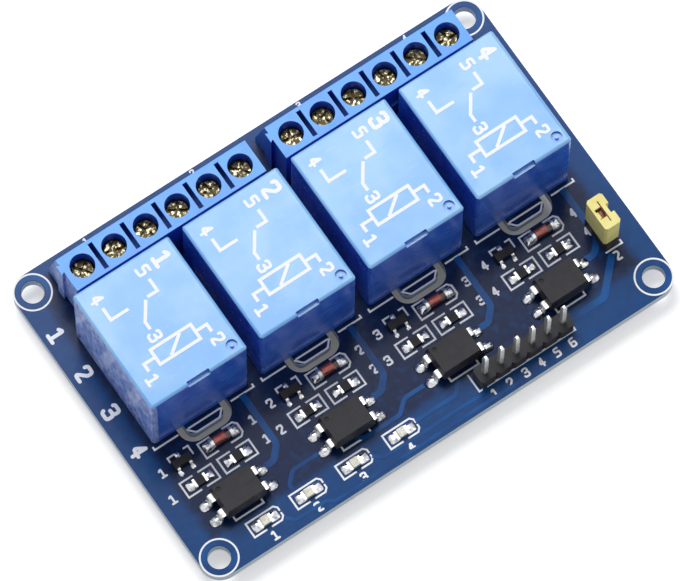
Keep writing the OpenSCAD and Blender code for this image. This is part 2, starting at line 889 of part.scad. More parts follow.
// One gull-wing lead of an optocoupler: out of the body, down, and out again to its foot
module opto_lead() {
    lead_z = opto_h / 2 + opto_lift;
    root_in = 0.6;
    shin_x = opto_w / 2 + 0.6;
    translate([0, -opto_lead_w / 2, 0])
        along_y(opto_lead_w)
            bent_strip(
                [[opto_w / 2 - root_in, lead_z], [shin_x, lead_z], [shin_x, opto_lead_t / 2],
                 [opto_span / 2, opto_lead_t / 2]],
                opto_lead_t, 0.15
            );
}

module opto_lead_set() {
    for (turn = [0, 180], row = [-1, 1])
        rotate(turn)
            translate([0, row * opto_pitch / 2, 0])
                opto_lead();
}

module at_each_opto() {
    for (c = [1:channels])
        translate([relay_x(c) + opto_dx, opto_y, board_t])
            children();
}

module optocoupler_bodies() {
    dot_in = 0.9;
    dot_r = 0.35;
    dot_d = 0.15;
    color([0.2, 0.2, 0.22])
        at_each_opto()
            difference() {
                translate([0, 0, opto_lift])
                    moulded_body([opto_w, opto_d, opto_h], 0.25);
                opto_lead_set();
                translate([dot_in - opto_w / 2, opto_d / 2 - dot_in, opto_h + opto_lift - dot_d])
                    cylinder(r = dot_r, h = dot_d + eps);
            }
}

module optocoupler_leads() {
    color([0.82, 0.82, 0.82])
        at_each_opto()
            opto_lead_set();
}

transistor_lift = 0.1;
transistor_pitch = 0.95;

// One lead of a transistor, towards +Y
module transistor_lead() {
    lead_w = 0.42;
    lead_t = 0.15;
    root_y = transistor_d / 2 - 0.2;
    shin_y = transistor_d / 2 + 0.2;
    toe_y = transistor_d / 2 + 0.65;
    lead_z = transistor_h / 2 + transistor_lift;
    across_x(lead_w)
        bent_strip(
            [[root_y, lead_z], [shin_y, lead_z], [shin_y, lead_t / 2], [toe_y, lead_t / 2]],
            lead_t, 0.05
        );
}

module transistor_lead_set() {
    transistor_lead();
    for (side = [-1, 1])
        translate([side * transistor_pitch, 0, 0])
            rotate(180)
                transistor_lead();
}

module at_each_transistor() {
    for (c = [1:channels])
        translate([relay_x(c) + transistor_dx, diodes_y + transistor_dy, board_t])
            children();
}

module transistor_bodies() {
    color([0.13, 0.13, 0.14])
        at_each_transistor()
            difference() {
                translate([0, 0, transistor_lift])
                    moulded_body([transistor_w, transistor_d, transistor_h], 0.1);
                transistor_lead_set();
            }
}

module transistor_leads() {
    color([0.82, 0.82, 0.82])
        at_each_transistor()
            transistor_lead_set();
}

diode_cap_l = 0.45;

module at_each_diode() {
    for (c = [1:channels])
        translate([relay_x(c) + diode_dx, diodes_y, board_t + diode_r])
            rotate([0, 90, 0])
                children();
}

module diode_bodies() {
    color([0.85, 0.2, 0.08])
        at_each_diode()
            cylinder(r = diode_r - 0.05, h = diode_l - 2 * diode_cap_l, center = true);
}

module at_each_resistor() {
    for (c = [1:channels], dx = chip_dx)
        translate([relay_x(c) + dx, chips_y, board_t])
            children();
}

module at_each_light() {
    for (x = light_x)
        translate([x, header_y + light_dy, board_t])
            children();
}

module resistor_bodies() {
    color([0.14, 0.14, 0.15])
        at_each_resistor()
            slab(chip_l - 2 * chip_end, -chip_w / 2, chip_w / 2, 0, chip_h);
}

// Substrate with a lens that narrows upwards
module light_bodies() {
    base_h = 0.35;
    lens_l = chip_l - 2 * chip_end;
    color([0.95, 0.95, 0.9])
        at_each_light() {
            slab(lens_l, -chip_w / 2, chip_w / 2, 0, base_h);
            translate([0, -chip_w / 2, base_h - eps])
                along_y(chip_w)
                    polygon([
                        [-lens_l / 2, 0], [lens_l / 2, 0],
                        [lens_l / 2 - 0.08, lens_h + eps], [0.08 - lens_l / 2, lens_h + eps]
                    ]);
        }
}

// The metal ends of the diodes, resistors and lights
module chip_ends() {
    color([0.85, 0.85, 0.84]) {
        at_each_diode()
            for (end = [-1, 1])
                translate([0, 0, end * (diode_l - diode_cap_l) / 2])
                    cylinder(r = diode_r, h = diode_cap_l, center = true);
        at_each_resistor()
            for (end = [-1, 1])
                translate([end * (chip_l - chip_end) / 2, 0, 0])
                    slab(chip_end, -chip_w / 2, chip_w / 2, 0, chip_h);
        at_each_light()
            for (end = [-1, 1])
                translate([end * (chip_l - chip_end) / 2, 0, 0])
                    slab(chip_end, -chip_w / 2, chip_w / 2, 0, 0.35);
    }
}

// ---------------------------------------------------------------- headers and jumper

// A row of square segments with cut corners, each holding one pin
module header_housing(count) {
    cut = 0.35;
    p = pin_pitch / 2;
    w = header_w / 2;
    linear_extrude(header_w)
        for (k = [0:count - 1])
            translate([pin_x(k, count), 0])
                difference() {
                    polygon([
                        [-p, cut - w], [cut - p, -w], [p - cut, -w], [p, cut - w],
                        [p, w - cut], [p - cut, w], [cut - p, w], [-p, w - cut]
                    ]);
                    square(pin_w, center = true);
                }
}

module header_housings() {
    color([0.1, 0.1, 0.11]) {
        translate([header_x, header_y, board_t])
            header_housing(pin_count);
        translate([jumper_x, jumper_y, board_t])
            rotate(90)
                header_housing(2);
    }
}

// A square pin with both ends tapered
module square_pin(top) {
    bottom = -tail_l;
    w = pin_w / 2;
    taper = 0.45;
    module side_view() {
        polygon([
            [-w, bottom + taper], [-w / 2, bottom], [w / 2, bottom], [w, bottom + taper],
            [w, top - taper], [w / 2, top], [-w / 2, top], [-w, top - taper]
        ]);
    }
    intersection() {
        translate([0, -w, 0])
            along_y(pin_w)
                side_view();
        across_x(pin_w)
            side_view();
    }
}

module header_pins() {
    color([0.82, 0.82, 0.8]) {
        for (k = [0:pin_count - 1])
            translate([header_x + pin_x(k, pin_count), header_y, 0])
                square_pin(board_t + pin_h);
        for (k = [0:1])
            translate([jumper_x, jumper_y + pin_x(k, 2), 0])
                square_pin(board_t + jumper_pin_h);
    }
}

// Outline of the cap from above: cut corners and a finger notch in the right-hand side
module cap_outline() {
    cut = 0.3;
    notch = 0.67;
    notch_deep = 0.5;
    w = cap_w / 2;
    l = cap_l / 2;
    polygon([
        [cut - w, -l], [w - cut, -l], [w, cut - l], [w, -notch], [w - notch_deep, -notch],
        [w - notch_deep, notch], [w, notch], [w, l - cut], [w - cut, l],
        [cut - w, l], [-w, l - cut], [-w, cut - l]
    ]);
}

module jumper_cap() {
    pocket_w = 2 * (pin_w / 2 + clip_gap + clip_t) + 0.5;
    pocket_half = 0.75;
    window_l = 1.6;
    window_w = 0.95;
    color([0.95, 0.9, 0.5])
        translate([jumper_x, jumper_y, board_t])
            difference() {
                translate([0, 0, header_w])
                    linear_extrude(cap_h)
                        cap_outline();
                for (k = [0:1])
                    translate([0, pin_x(k, 2), 0])
                        slab(pocket_w, -pocket_half, pocket_half, header_w - eps, cap_top - cap_roof);
                slab(
                    pin_w + 2 * (clip_gap + clip_t), -pin_pitch / 2, pin_pitch / 2,
                    header_w - eps, cap_top - cap_roof
                );
                translate([-window_w / 2, 0, 0])
                    slab(window_w, -window_l / 2, window_l / 2, cap_top - cap_roof - eps, cap_top + eps);
                translate([clip_t / 2, 0, 0])
                    slab(clip_t, -slit_l / 2, slit_l / 2, cap_top - cap_roof - eps, cap_top + eps);
            }
}

// Bridge and rib between two channels that straddle the pins
module jumper_clip() {
    inner = pin_w / 2 + clip_gap;
    finger_bottom = header_w + 1.5;
    rib_sunk = 0.1;
    color([0.62, 0.45, 0.28])
        translate([jumper_x, jumper_y, board_t]) {
            slab(
                2 * (inner + clip_t), -pin_pitch / 2 - finger_w / 2, pin_pitch / 2 + finger_w / 2,
                clip_z, clip_z + clip_t
            );
            translate([clip_t / 2, 0, 0])
                slab(clip_t, -slit_l / 2, slit_l / 2, clip_z + clip_t - eps, cap_top - rib_sunk);
            for (k = [0:1], side = [-1, 1])
                translate([side * (inner + clip_t / 2), pin_x(k, 2), 0])
                    slab(clip_t, -finger_w / 2, finger_w / 2, finger_bottom, clip_z + eps);
        }
}

// ---------------------------------------------------------------- nodes

circuit_board();
solder_joints();
terminal_housing(-1);  // terminal_housing_left
terminal_housing(1);  // terminal_housing_right
terminal_frames();
terminal_pins();
for (p = [1:poles]) wire_clamp(p);
for (p = [1:poles]) terminal_screw(p);
for (c = [1:channels]) relay_cover(c);
for (c = [1:channels]) relay_armature(c);
for (c = [1:channels]) relay_leaf(c);
relay_bases();
relay_yokes();
relay_bobbins();
relay_windings();
relay_contacts();
relay_coil_pins();
optocoupler_bodies();
optocoupler_leads();
transistor_bodies();
transistor_leads();
diode_bodies();
resistor_bodies();
light_bodies();
chip_ends();
header_housings();
header_pins();
jumper_cap();
jumper_clip();
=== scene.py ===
"""Dresses a four-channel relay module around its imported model.

Sizes in the classes are millimetres in the model's frame, and meshes are made in metres. +X runs
along the row of relays, +Y towards the screw terminals and +Z up from the component side.
"""

import json
import logging
import math
from dataclasses import dataclass, field
from enum import Enum
from typing import Iterable, Sequence, Union

import bpy
from mathutils import Matrix, Vector


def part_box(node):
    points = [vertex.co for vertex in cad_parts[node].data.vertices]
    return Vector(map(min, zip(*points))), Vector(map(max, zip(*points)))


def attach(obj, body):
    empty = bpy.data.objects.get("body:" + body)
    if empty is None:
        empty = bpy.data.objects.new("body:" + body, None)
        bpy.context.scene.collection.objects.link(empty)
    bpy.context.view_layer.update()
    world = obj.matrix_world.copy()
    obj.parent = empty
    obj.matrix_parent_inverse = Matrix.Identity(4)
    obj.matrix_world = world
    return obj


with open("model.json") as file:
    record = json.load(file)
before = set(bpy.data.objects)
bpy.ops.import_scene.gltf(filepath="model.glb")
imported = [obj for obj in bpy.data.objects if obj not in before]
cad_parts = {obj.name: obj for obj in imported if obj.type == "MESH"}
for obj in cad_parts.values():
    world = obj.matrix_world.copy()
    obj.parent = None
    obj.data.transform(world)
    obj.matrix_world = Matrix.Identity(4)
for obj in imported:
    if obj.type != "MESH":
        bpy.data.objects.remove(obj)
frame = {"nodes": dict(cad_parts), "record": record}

LOG = logging.getLogger("relay_module")
MM = 0.001
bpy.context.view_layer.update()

Flat = tuple[float, float]
Value = Union["Signal", bpy.types.NodeSocket, float, tuple]


class Slot(Enum):
    """The record's material slots that this script dresses."""

    SOLDER_MASK = "solder_mask"
    MASKED_COPPER = "masked_copper"
    WHITE_INK = "white_ink"
    SOLDER = "solder"
    TERMINAL_BLUE = "terminal_blue"
    PLATED_STEEL = "plated_steel"
    TINNED_METAL = "tinned_metal"
    CLAMP_BRASS = "clamp_brass"
    RELAY_BLUE = "relay_blue"
    COIL_FORMER = "coil_former"
    COPPER_WIRE = "copper_wire"
    SPRING_COPPER = "spring_copper"
    BLACK_MOULDING = "black_moulding"
    DIODE_GLASS = "diode_glass"
    LIGHT_LENS = "light_lens"
    JUMPER_YELLOW = "jumper_yellow"


class Heading(Enum):
    """Which way a line of figures runs, as the direction of its text and of the figures' tops."""

    ALONG = ((1.0, 0.0), (0.0, 1.0))
    TOWARDS_FRONT = ((0.0, -1.0), (1.0, 0.0))


def linear(rgb: tuple[int, int, int]) -> tuple[float, float, float, float]:
    """Turns a display colour into the renderer's linear colour.

    Args:
        rgb: Red, green and blue from 0 to 255.

    Returns:
        Linear red, green, blue and full alpha.
    """
    parts = [level / 255 for level in rgb]
    return (*(p / 12.92 if p <= 0.04045 else ((p + 0.055) / 1.055) ** 2.4 for p in parts), 1.0)


class Signal:
    """A value socket that Python's operators carry on through Math nodes."""

    def __init__(self, desk: "ShaderDesk", socket: bpy.types.NodeSocket) -> None:
        """Keeps the socket and the desk that its node stands on."""
        self.desk = desk
        self.socket = socket

    def __add__(self, other: Value) -> "Signal":
        """Adds a value."""
        return self.desk.maths("ADD", self, other)

    __radd__ = __add__

    def __sub__(self, other: Value) -> "Signal":
        """Takes a value away."""
        return self.desk.maths("SUBTRACT", self, other)

    def __rsub__(self, other: Value) -> "Signal":
        """Takes this signal away from a value."""
        return self.desk.maths("SUBTRACT", other, self)

    def __mul__(self, other: Value) -> "Signal":
        """Multiplies by a value."""
        return self.desk.maths("MULTIPLY", self, other)

    __rmul__ = __mul__

    def __abs__(self) -> "Signal":
        """Drops the sign."""
        return self.desk.maths("ABSOLUTE", self)

    def __gt__(self, other: Value) -> "Signal":
        """Gives 1 where this signal is greater."""
        return self.desk.maths("GREATER_THAN", self, other)

    def __lt__(self, other: Value) -> "Signal":
        """Gives 1 where this signal is less."""
        return self.desk.maths("LESS_THAN", self, other)

    def __mod__(self, other: Value) -> "Signal":
        """Gives the remainder, which is never negative."""
        return self.desk.maths("FLOORED_MODULO", self, other)

    def larger(self, other: Value) -> "Signal":
        """Gives the larger of two values."""
        return self.desk.maths("MAXIMUM", self, other)

    def between(self, low: float, high: float) -> "Signal":
        """Rises smoothly from 0 at low to 1 at high.

        Args:
            low: Where the rise starts.
            high: Where it ends.

        Returns:
            The eased signal.
        """
        ranged = self.desk.node(
            "ShaderNodeMapRange", {"interpolation_type": "SMOOTHSTEP"},
            {"Value": self, "From Min": low, "From Max": high},
        )
        return Signal(self.desk, ranged.outputs["Result"])


class ShaderDesk:
    """The nodes of one material, around its main shader."""

    def __init__(self, name: str) -> None:
        """Starts a material.

        Args:
            name: The material's name.
        """
        self.material = bpy.data.materials.new(name)
        self.material.use_nodes = True
        self.tree = self.material.node_tree
        self.shader = self.tree.nodes["Principled BSDF"]
        self.place = self.node("ShaderNodeTexCoord").outputs["Object"]

    def node(self, kind: str, settings: dict | None = None, inputs: dict | None = None) -> bpy.types.Node:
        """Makes one node.

        Args:
            kind: The node's type.
            settings: Its properties, set first. "stops" are a ramp's places and colours.
            inputs: Values or links for its sockets, by name or index.

        Returns:
            The node.
        """
        made = self.tree.nodes.new(kind)
        for key, value in (settings or {}).items():
            if key == "stops":
                while len(made.color_ramp.elements) < len(value):
                    made.color_ramp.elements.new(1.0)
                for element, (place, colour) in zip(made.color_ramp.elements, value):
                    element.position, element.color = place, colour
            else:
                setattr(made, key, value)
        for key, value in (inputs or {}).items():
            self.join(value, made.inputs[key])
        return made

    def join(self, value: Value, socket: bpy.types.NodeSocket) -> None:
        """Links or sets one socket.

        Args:
            value: A signal, a socket or a plain value.
            socket: The input that takes it.
        """
        if isinstance(value, Signal):
            value = value.socket
        if isinstance(value, bpy.types.NodeSocket):
            self.tree.links.new(value, socket)
        else:
            socket.default_value = value

    def maths(self, operation: str, *values: Value) -> Signal:
        """Adds a Math node.

        Args:
            operation: What it does.
            values: Its inputs.

        Returns:
            Its result.
        """
        made = self.node("ShaderNodeMath", {"operation": operation}, dict(enumerate(values)))
        return Signal(self, made.outputs[0])

    def noise(self, size: float, detail: float = 3.0, stretch: Flat | None = None) -> Signal:
        """Adds soft noise over the surface.

        Args:
            size: Size of its features in millimetres.
            detail: How many finer octaves it has.
            stretch: Factors that lengthen the features along X and Y.

        Returns:
            Noise that averages one half.
        """
        place: Value = self.place
        if stretch:
            scaled = self.node(
                "ShaderNodeMapping", {}, {"Vector": place, "Scale": (1 / stretch[0], 1 / stretch[1], 1.0)}
            )
            place = scaled.outputs["Vector"]
        made = self.node(
            "ShaderNodeTexNoise", {}, {"Vector": place, "Scale": 1 / (size * MM), "Detail": detail}
        )
        return Signal(self, made.outputs["Fac"])

    def axis(self, letter: str) -> Signal:
        """Gives the place along one axis in millimetres.

        Args:
            letter: X, Y or Z.

        Returns:
            The coordinate.
        """
        split = self.node("ShaderNodeSeparateXYZ", {}, {"Vector": self.place})
        return Signal(self, split.outputs[letter]) * (1 / MM)

    def upright(self) -> Signal:
        """Gives 1 on walls that stand up and 0 on level faces."""
        normal = self.node("ShaderNodeNewGeometry").outputs["Normal"]
        split = self.node("ShaderNodeSeparateXYZ", {}, {"Vector": normal})
        return abs(Signal(self, split.outputs["Z"])) < 0.5

    def blend(self, factor: Value, first: Value, second: Value) -> bpy.types.NodeSocket:
        """Mixes two colours.

        Args:
            factor: 0 gives the first, 1 the second.
            first: A colour or a socket.
            second: A colour or a socket.

        Returns:
            The mixed colour's socket.
        """
        mixed = self.node("ShaderNodeMix", {"data_type": "RGBA"}, {0: factor, 6: first, 7: second})
        return mixed.outputs[2]

    def bump(self, height: Signal, depth: float) -> bpy.types.NodeSocket:
        """Turns a height into a normal.

        Args:
            height: The height from 0 to 1.
            depth: Height of 1 in millimetres.

        Returns:
            The normal's socket.
        """
        made = self.node("ShaderNodeBump", {}, {"Height": height, "Distance": depth * MM, "Strength": 1.0})
        return made.outputs["Normal"]

    def finish(self, inputs: dict[str, Value]) -> bpy.types.Material:
        """Feeds the shader.

        Args:
            inputs: Values or links by socket name.

        Returns:
            The finished material.
        """
        for name, value in inputs.items():
            self.join(value, self.shader.inputs[name])
        return self.material


@dataclass(frozen=True)
class MaskedBoard:
    """Solder mask over bare laminate, with a lighter rim that stands for a copper plane and for painted sheen, and cut
    glass-fibre walls.
    """

    bare: tuple[int, int, int] = (10, 32, 72)
    # A lighter blue for the rim: the tint of a copper plane together with painted sheen.
    plane: tuple[int, int, int] = (15, 66, 124)
    laminate: tuple[int, int, int] = (222, 230, 238)
    plane_and_sheen_half_length: float = 34.6
    plane_and_sheen_front: float = -19.9
    plane_and_sheen_back: float = 23.4

    def material(self, name: str) -> bpy.types.Material:
        """Makes the material under the given name."""
        desk = ShaderDesk(name)
        cloud = desk.noise(9.0, 4.0)
        along, back = desk.axis("X"), desk.axis("Y")
        # Painted sheen: the lighter rim colour also stands for the copper plane, and it takes in the back strip.
        rim = (abs(along) - self.plane_and_sheen_half_length).larger(self.plane_and_sheen_front - back)
        rim = rim.larger(back - self.plane_and_sheen_back)
        plane_and_sheen_mask = (rim + cloud * 1.5).between(0.2, 1.8)
        mask = desk.blend(plane_and_sheen_mask, linear(self.bare), linear(self.plane))
        mask = desk.blend(desk.noise(1.4, 5.0).between(0.45, 0.8) * 0.25, mask, linear((24, 92, 160)))
        wall = desk.upright()
        fibres = desk.noise(0.35, 2.0, (4.0, 4.0))
        rim_colour = desk.blend(fibres, linear(self.laminate), linear((176, 196, 214)))
        weave = desk.noise(0.6, 2.0, (0.3, 3.0)) + desk.noise(0.6, 2.0, (3.0, 0.3))
        return desk.finish({
            "Base Color": desk.blend(wall, mask, rim_colour),
            "Roughness": wall * 0.5 + cloud * 0.12 + 0.16,
            "Specular IOR Level": 0.12,
            "Normal": desk.bump(weave * 0.4 + desk.noise(2.5) * 0.6, 0.012),
        })


@dataclass(frozen=True)
class MaskedCopper:
    """Copper tracks seen through the solder mask."""

    colour: tuple[int, int, int] = (18, 88, 158)
    deep: tuple[int, int, int] = (14, 66, 126)

    def material(self, name: str) -> bpy.types.Material:
        """Makes the material under the given name."""
        desk = ShaderDesk(name)
        cloud = desk.noise(5.0, 4.0)
        return desk.finish({
            "Base Color": desk.blend(cloud.between(0.3, 0.7), linear(self.deep), linear(self.colour)),
            "Roughness": cloud * 0.12 + 0.16,
            "Specular IOR Level": 0.12,
            "Normal": desk.bump(desk.noise(0.9), 0.006),
        })


@dataclass(frozen=True)
class PrintedInk:
    """Screen-printed ink, a little uneven, with a matt grain."""

    colour: tuple[int, int, int] = (248, 250, 254)
    thin: tuple[int, int, int] = (200, 212, 236)

    def material(self, name: str) -> bpy.types.Material:
        """Makes the material under the given name."""
        desk = ShaderDesk(name)
        starved = desk.noise(0.18, 4.0).between(0.56, 0.75)
        return desk.finish({
            "Base Color": desk.blend(starved * 0.7, linear(self.colour), linear(self.thin)),
            "Roughness": desk.noise(0.1) * 0.2 + 0.5,
            "Normal": desk.bump(desk.noise(0.08), 0.004),
        })


@dataclass(frozen=True)
class Moulding:
    """Moulded plastic with flow clouds, a fine grain and faint rubbed marks.

    Its upright walls can take a darker copy of its colour than its level faces, a painted shade that leaves the tops
    lighter, and the walls at the left end of the row can carry painted glare streaks.
    """

    colour: tuple[int, int, int]
    cloud_colour: tuple[int, int, int]
    cloud_size: float = 6.0
    roughness: float = 0.3
    grain_size: float = 0.15
    grain_depth: float = 0.003
    coat: float = 0.0
    level: float = 0.5
    scatter: float = 0.0
    wall: tuple[int, int, int] | None = None
    shaded_wall_cloud: tuple[int, int, int] = (0, 0, 0)
    glare_colour: tuple[int, int, int] = (196, 212, 246)
    glare_below_x: float | None = None
    shaded_dimple_z: float | None = None

    def material(self, name: str) -> bpy.types.Material:
        """Makes the material under the given name."""
        desk = ShaderDesk(name)
        cloud = desk.noise(self.cloud_size, 4.0)
        rubbed = desk.noise(0.5, 5.0, (6.0, 1.5)).between(0.6, 0.78)
        colour = desk.blend(cloud.between(0.32, 0.68), linear(self.colour), linear(self.cloud_colour))
        roughness = rubbed * 0.12 + cloud * 0.1 + (self.roughness - 0.05)
        # Painted shade: upright walls take the darker wall colour, so the level tops read lighter.
        if self.wall:
            blotch = desk.noise(self.cloud_size / 3, 5.0).between(0.4, 0.68)
            wall = desk.blend(blotch, linear(self.wall), linear(self.shaded_wall_cloud))
            colour = desk.blend(desk.upright(), colour, wall)
        # Painted glare: whitish streaks on the walls at the left end of the row.
        if self.glare_below_x is not None:
            end = (desk.axis("X") < self.glare_below_x) * desk.upright()
            glare_streaks = end * (desk.noise(1.5, 6.0, (0.4, 0.4)).between(0.38, 0.66) * 0.45 + 0.2)
            colour = desk.blend(glare_streaks, colour, linear(self.glare_colour))
            roughness = roughness + glare_streaks * 0.2
        # Painted shade: the floor of the pin-one dimple is darkened.
        if self.shaded_dimple_z is not None:
            dimple_shade = (abs(desk.axis("Z") - self.shaded_dimple_z) < 0.04) * (1.0 - desk.upright())
            colour = desk.blend(dimple_shade, colour, linear((8, 8, 10)))
        return desk.finish({
            "Base Color": colour,
            "Roughness": roughness,
            "Specular IOR Level": self.level,
            "Coat Weight": self.coat,
            "Coat Roughness": 0.08,
            "Subsurface Weight": self.scatter,
            "Subsurface Scale": 0.6 * MM,
            "Normal": desk.bump(desk.noise(self.grain_size, 2.0) + rubbed * 0.3, self.grain_depth),
        })


@dataclass(frozen=True)
class BareMetal:
    """Metal with a plating tint, dull patches and drawn or cast marks; on the brass clamps the dark patches are partly
    tarnish and partly painted dark reflections.
    """

    colour: tuple[int, int, int]
    dull: tuple[int, int, int]
    roughness: float = 0.28
    patch_size: float = 0.8
    mark_size: float = 0.12
    mark_depth: float = 0.004
    stretch: Flat = (1.0, 1.0)
    patch_range: Flat = (0.42, 0.72)

    def material(self, name: str) -> bpy.types.Material:
        """Makes the material under the given name."""
        desk = ShaderDesk(name)
        patch = desk.noise(self.patch_size, 5.0).between(*self.patch_range)
        marks = desk.noise(self.mark_size, 3.0, self.stretch)
        return desk.finish({
            "Base Color": desk.blend(patch, linear(self.colour), linear(self.dull)),
            "Metallic": 1.0 - patch * 0.15,
            "Roughness": patch * 0.2 + marks * 0.1 + (self.roughness - 0.05),
            "Normal": desk.bump(marks, self.mark_depth),
        })


@dataclass(frozen=True)
class WoundWire:
    """Enamelled wire in close turns, with painted shade in the grooves between them."""

    colour: tuple[int, int, int] = (176, 92, 40)
    groove_shade: tuple[int, int, int] = (92, 38, 16)
    wire: float = 0.14

    def material(self, name: str) -> bpy.types.Material:
        """Makes the material under the given name."""
        desk = ShaderDesk(name)
        turn = (desk.axis("Z") + desk.noise(3.0) * 0.08) % self.wire
        # Painted shade: the grooves between turns take the darker groove colour.
        crown = (1.0 - abs(turn - self.wire / 2) * (2 / self.wire)).between(0.0, 0.8)
        return desk.finish({
            "Base Color": desk.blend(crown, linear(self.groove_shade), linear(self.colour)),
            "Metallic": crown * 0.6 + 0.2,
            "Roughness": desk.noise(0.6) * 0.2 + 0.25,
            "Normal": desk.bump(crown, 0.05),
        })


@dataclass(frozen=True)
class DiodeGlass:
    """Tinted glass whose bright side shows the glowing seal and whose other side the dark plug."""

    seal: tuple[int, int, int] = (222, 84, 50)
    plug: tuple[int, int, int] = (58, 24, 26)
    first_x: float = -25.875
    pitch: float = 17.45
    middle_y: float = -8.95

    def material(self, name: str) -> bpy.types.Material:
        """Makes the material under the given name."""
        desk = ShaderDesk(name)
        along = (desk.axis("X") - (self.first_x - self.pitch / 2)) % self.pitch - self.pitch / 2
        wavy = along + desk.noise(0.5) * 0.3
        dark = wavy.between(0.55, 0.95).larger(1.0 - wavy.between(-1.15, -0.85))
        dark = dark.larger(abs(desk.axis("Y") - self.middle_y).between(0.26, 0.5) * 0.75)
        streak = desk.noise(0.25, 3.0, (5.0, 1.0)).between(0.45, 0.75)
        seal = desk.blend(streak * 0.7, linear(self.seal), linear((250, 168, 140)))
        return desk.finish({
            "Base Color": desk.blend(dark, seal, linear(self.plug)),
            "Roughness": desk.noise(0.4) * 0.1 + 0.08,
            "Coat Weight": 0.8,
            "Coat Roughness": 0.04,
            "Normal": desk.bump(desk.noise(0.6), 0.01),
        })


@dataclass(frozen=True)
class MilkyLens:
    """Milky epoxy over a light chip, darker and more olive towards the bottom."""

    colour: tuple[int, int, int] = (238, 236, 222)
    cloud: tuple[int, int, int] = (206, 204, 186)

    def material(self, name: str) -> bpy.types.Material:
        """Makes the material under the given name."""
        desk = ShaderDesk(name)
        cloud = desk.noise(0.5, 3.0)
        low = 1.0 - desk.axis("Z").between(1.75, 2.0)
        top = desk.blend(cloud.between(0.35, 0.65), linear(self.colour), linear(self.cloud))
        return desk.finish({
            "Base Color": desk.blend(low * 0.6, top, linear((150, 150, 120))),
            "Roughness": cloud * 0.2 + 0.12,
            "Coat Weight": 0.4,
            "Subsurface Weight": 0.15,
            "Subsurface Scale": 0.3 * MM,
            "Normal": desk.bump(desk.noise(0.3), 0.01),
        })


FINISHES = {
    Slot.SOLDER_MASK: MaskedBoard(),
    Slot.MASKED_COPPER: MaskedCopper(),
    Slot.WHITE_INK: PrintedInk(),
    Slot.SOLDER: BareMetal((220, 222, 226), (128, 130, 136), 0.16, 0.6, 0.7, 0.06),
    # Terminal blue: lighter level tops and a darker wall colour are painted highlight and shade, and the left-end walls
    # carry painted glare streaks.
    Slot.TERMINAL_BLUE: Moulding(
        (62, 152, 240), (78, 166, 246), 4.0, 0.3, wall=(46, 108, 206), shaded_wall_cloud=(36, 92, 190),
        glare_below_x=-31.5,
    ),
    Slot.PLATED_STEEL: BareMetal((196, 198, 200), (150, 150, 146), 0.3, 1.2, 0.1, 0.003, (1.0, 6.0)),
    Slot.TINNED_METAL: BareMetal((228, 228, 226), (188, 188, 182), 0.36, 0.6, 0.1, 0.004, (1.0, 1.0)),
    # Brass clamps: the wide dark patches are partly tarnish and partly painted dark reflections.
    Slot.CLAMP_BRASS: BareMetal((186, 178, 148), (66, 58, 38), 0.24, 0.5, 0.3, 0.03, (1.0, 1.0), (0.32, 0.52)),
    # Relay blue: the tops are lightened for painted sheen, the walls take a darker copy for painted shade, and the
    # left-end walls carry painted glare streaks.
    Slot.RELAY_BLUE: Moulding(
        (138, 192, 240), (114, 178, 243), 7.0, 0.24, 0.2, 0.002, 0.12, 0.5,
        wall=(54, 108, 216), shaded_wall_cloud=(40, 88, 200), glare_below_x=-33.0,
    ),
    Slot.COIL_FORMER: Moulding((226, 226, 216), (212, 210, 198), 3.0, 0.45),
    Slot.COPPER_WIRE: WoundWire(),
    Slot.SPRING_COPPER: BareMetal((96, 62, 50), (50, 32, 28), 0.28, 0.8, 0.1, 0.003, (5.0, 1.0)),
    # Black moulding: the dimple floor at this height gets painted shade.
    Slot.BLACK_MOULDING: Moulding((26, 26, 31), (38, 37, 42), 1.2, 0.5, 0.12, 0.008, 0.0, 0.25, shaded_dimple_z=4.95),
    Slot.DIODE_GLASS: DiodeGlass(),
    Slot.LIGHT_LENS: MilkyLens(),
    Slot.JUMPER_YELLOW: Moulding((240, 226, 126), (248, 238, 158), 1.5, 0.42, 0.2, 0.006, 0.0, 0.4, 0.1),
}


class Wardrobe:
    """Makes each finish once and dresses the model's nodes and new pieces in it."""

    def __init__(self) -> None:
        """Makes every material."""
        self.materials = {slot: finish.material(slot.value) for slot, finish in FINISHES.items()}

    def dress_nodes(self) -> None:
        """Gives each node of the model the finish of its slot in the record."""
        for part in frame["record"]["subparts"]:
            node = frame["nodes"][part["node"]]
            material = self.materials[Slot(part["material_slot"])]
            for holder in node.material_slots:
                holder.material = material

    def dress(self, piece: bpy.types.Object, slot: Slot, body: str) -> bpy.types.Object:
        """Dresses a new piece and sets it on a body.

        Args:
            piece: The new piece.
            slot: Its finish.
            body: The body that it moves with.

        Returns:
            The piece.
        """
        piece.data.materials.append(self.materials[slot])
        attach(piece, body)
        LOG.info("%s: %d faces in %s on %s", piece.name, len(piece.data.polygons), slot.value, body)
        return piece


def eased(path: Sequence[Flat], radius: float, closed: bool = False, steps: int = 4) -> list[Flat]:
    """Rounds the turns of a path.

    Args:
        path: Its corners.
        radius: Radius of the turns, made smaller where a side is short.
        closed: Whether the last corner joins the first.
        steps: Points along each turn.

    Returns:
        The rounded path.
    """
    out: list[Flat] = []
    count = len(path)
    for i, corner in enumerate(path):
        if not closed and i in (0, count - 1):
            out.append(corner)
            continue
        here = Vector(corner)
        back = Vector(path[i - 1]) - here
        ahead = Vector(path[(i + 1) % count]) - here
        turn = math.pi - back.angle(ahead)
        cut = min(radius * math.tan(turn / 2), back.length * 0.48, ahead.length * 0.48)
        start, end = here + back.normalized() * cut, here + ahead.normalized() * cut
        for k in range(steps + 1):
            t = k / steps
            bent = start * (1 - t) ** 2 + here * 2 * t * (1 - t) + end * t * t
            out.append((bent.x, bent.y))
    return out


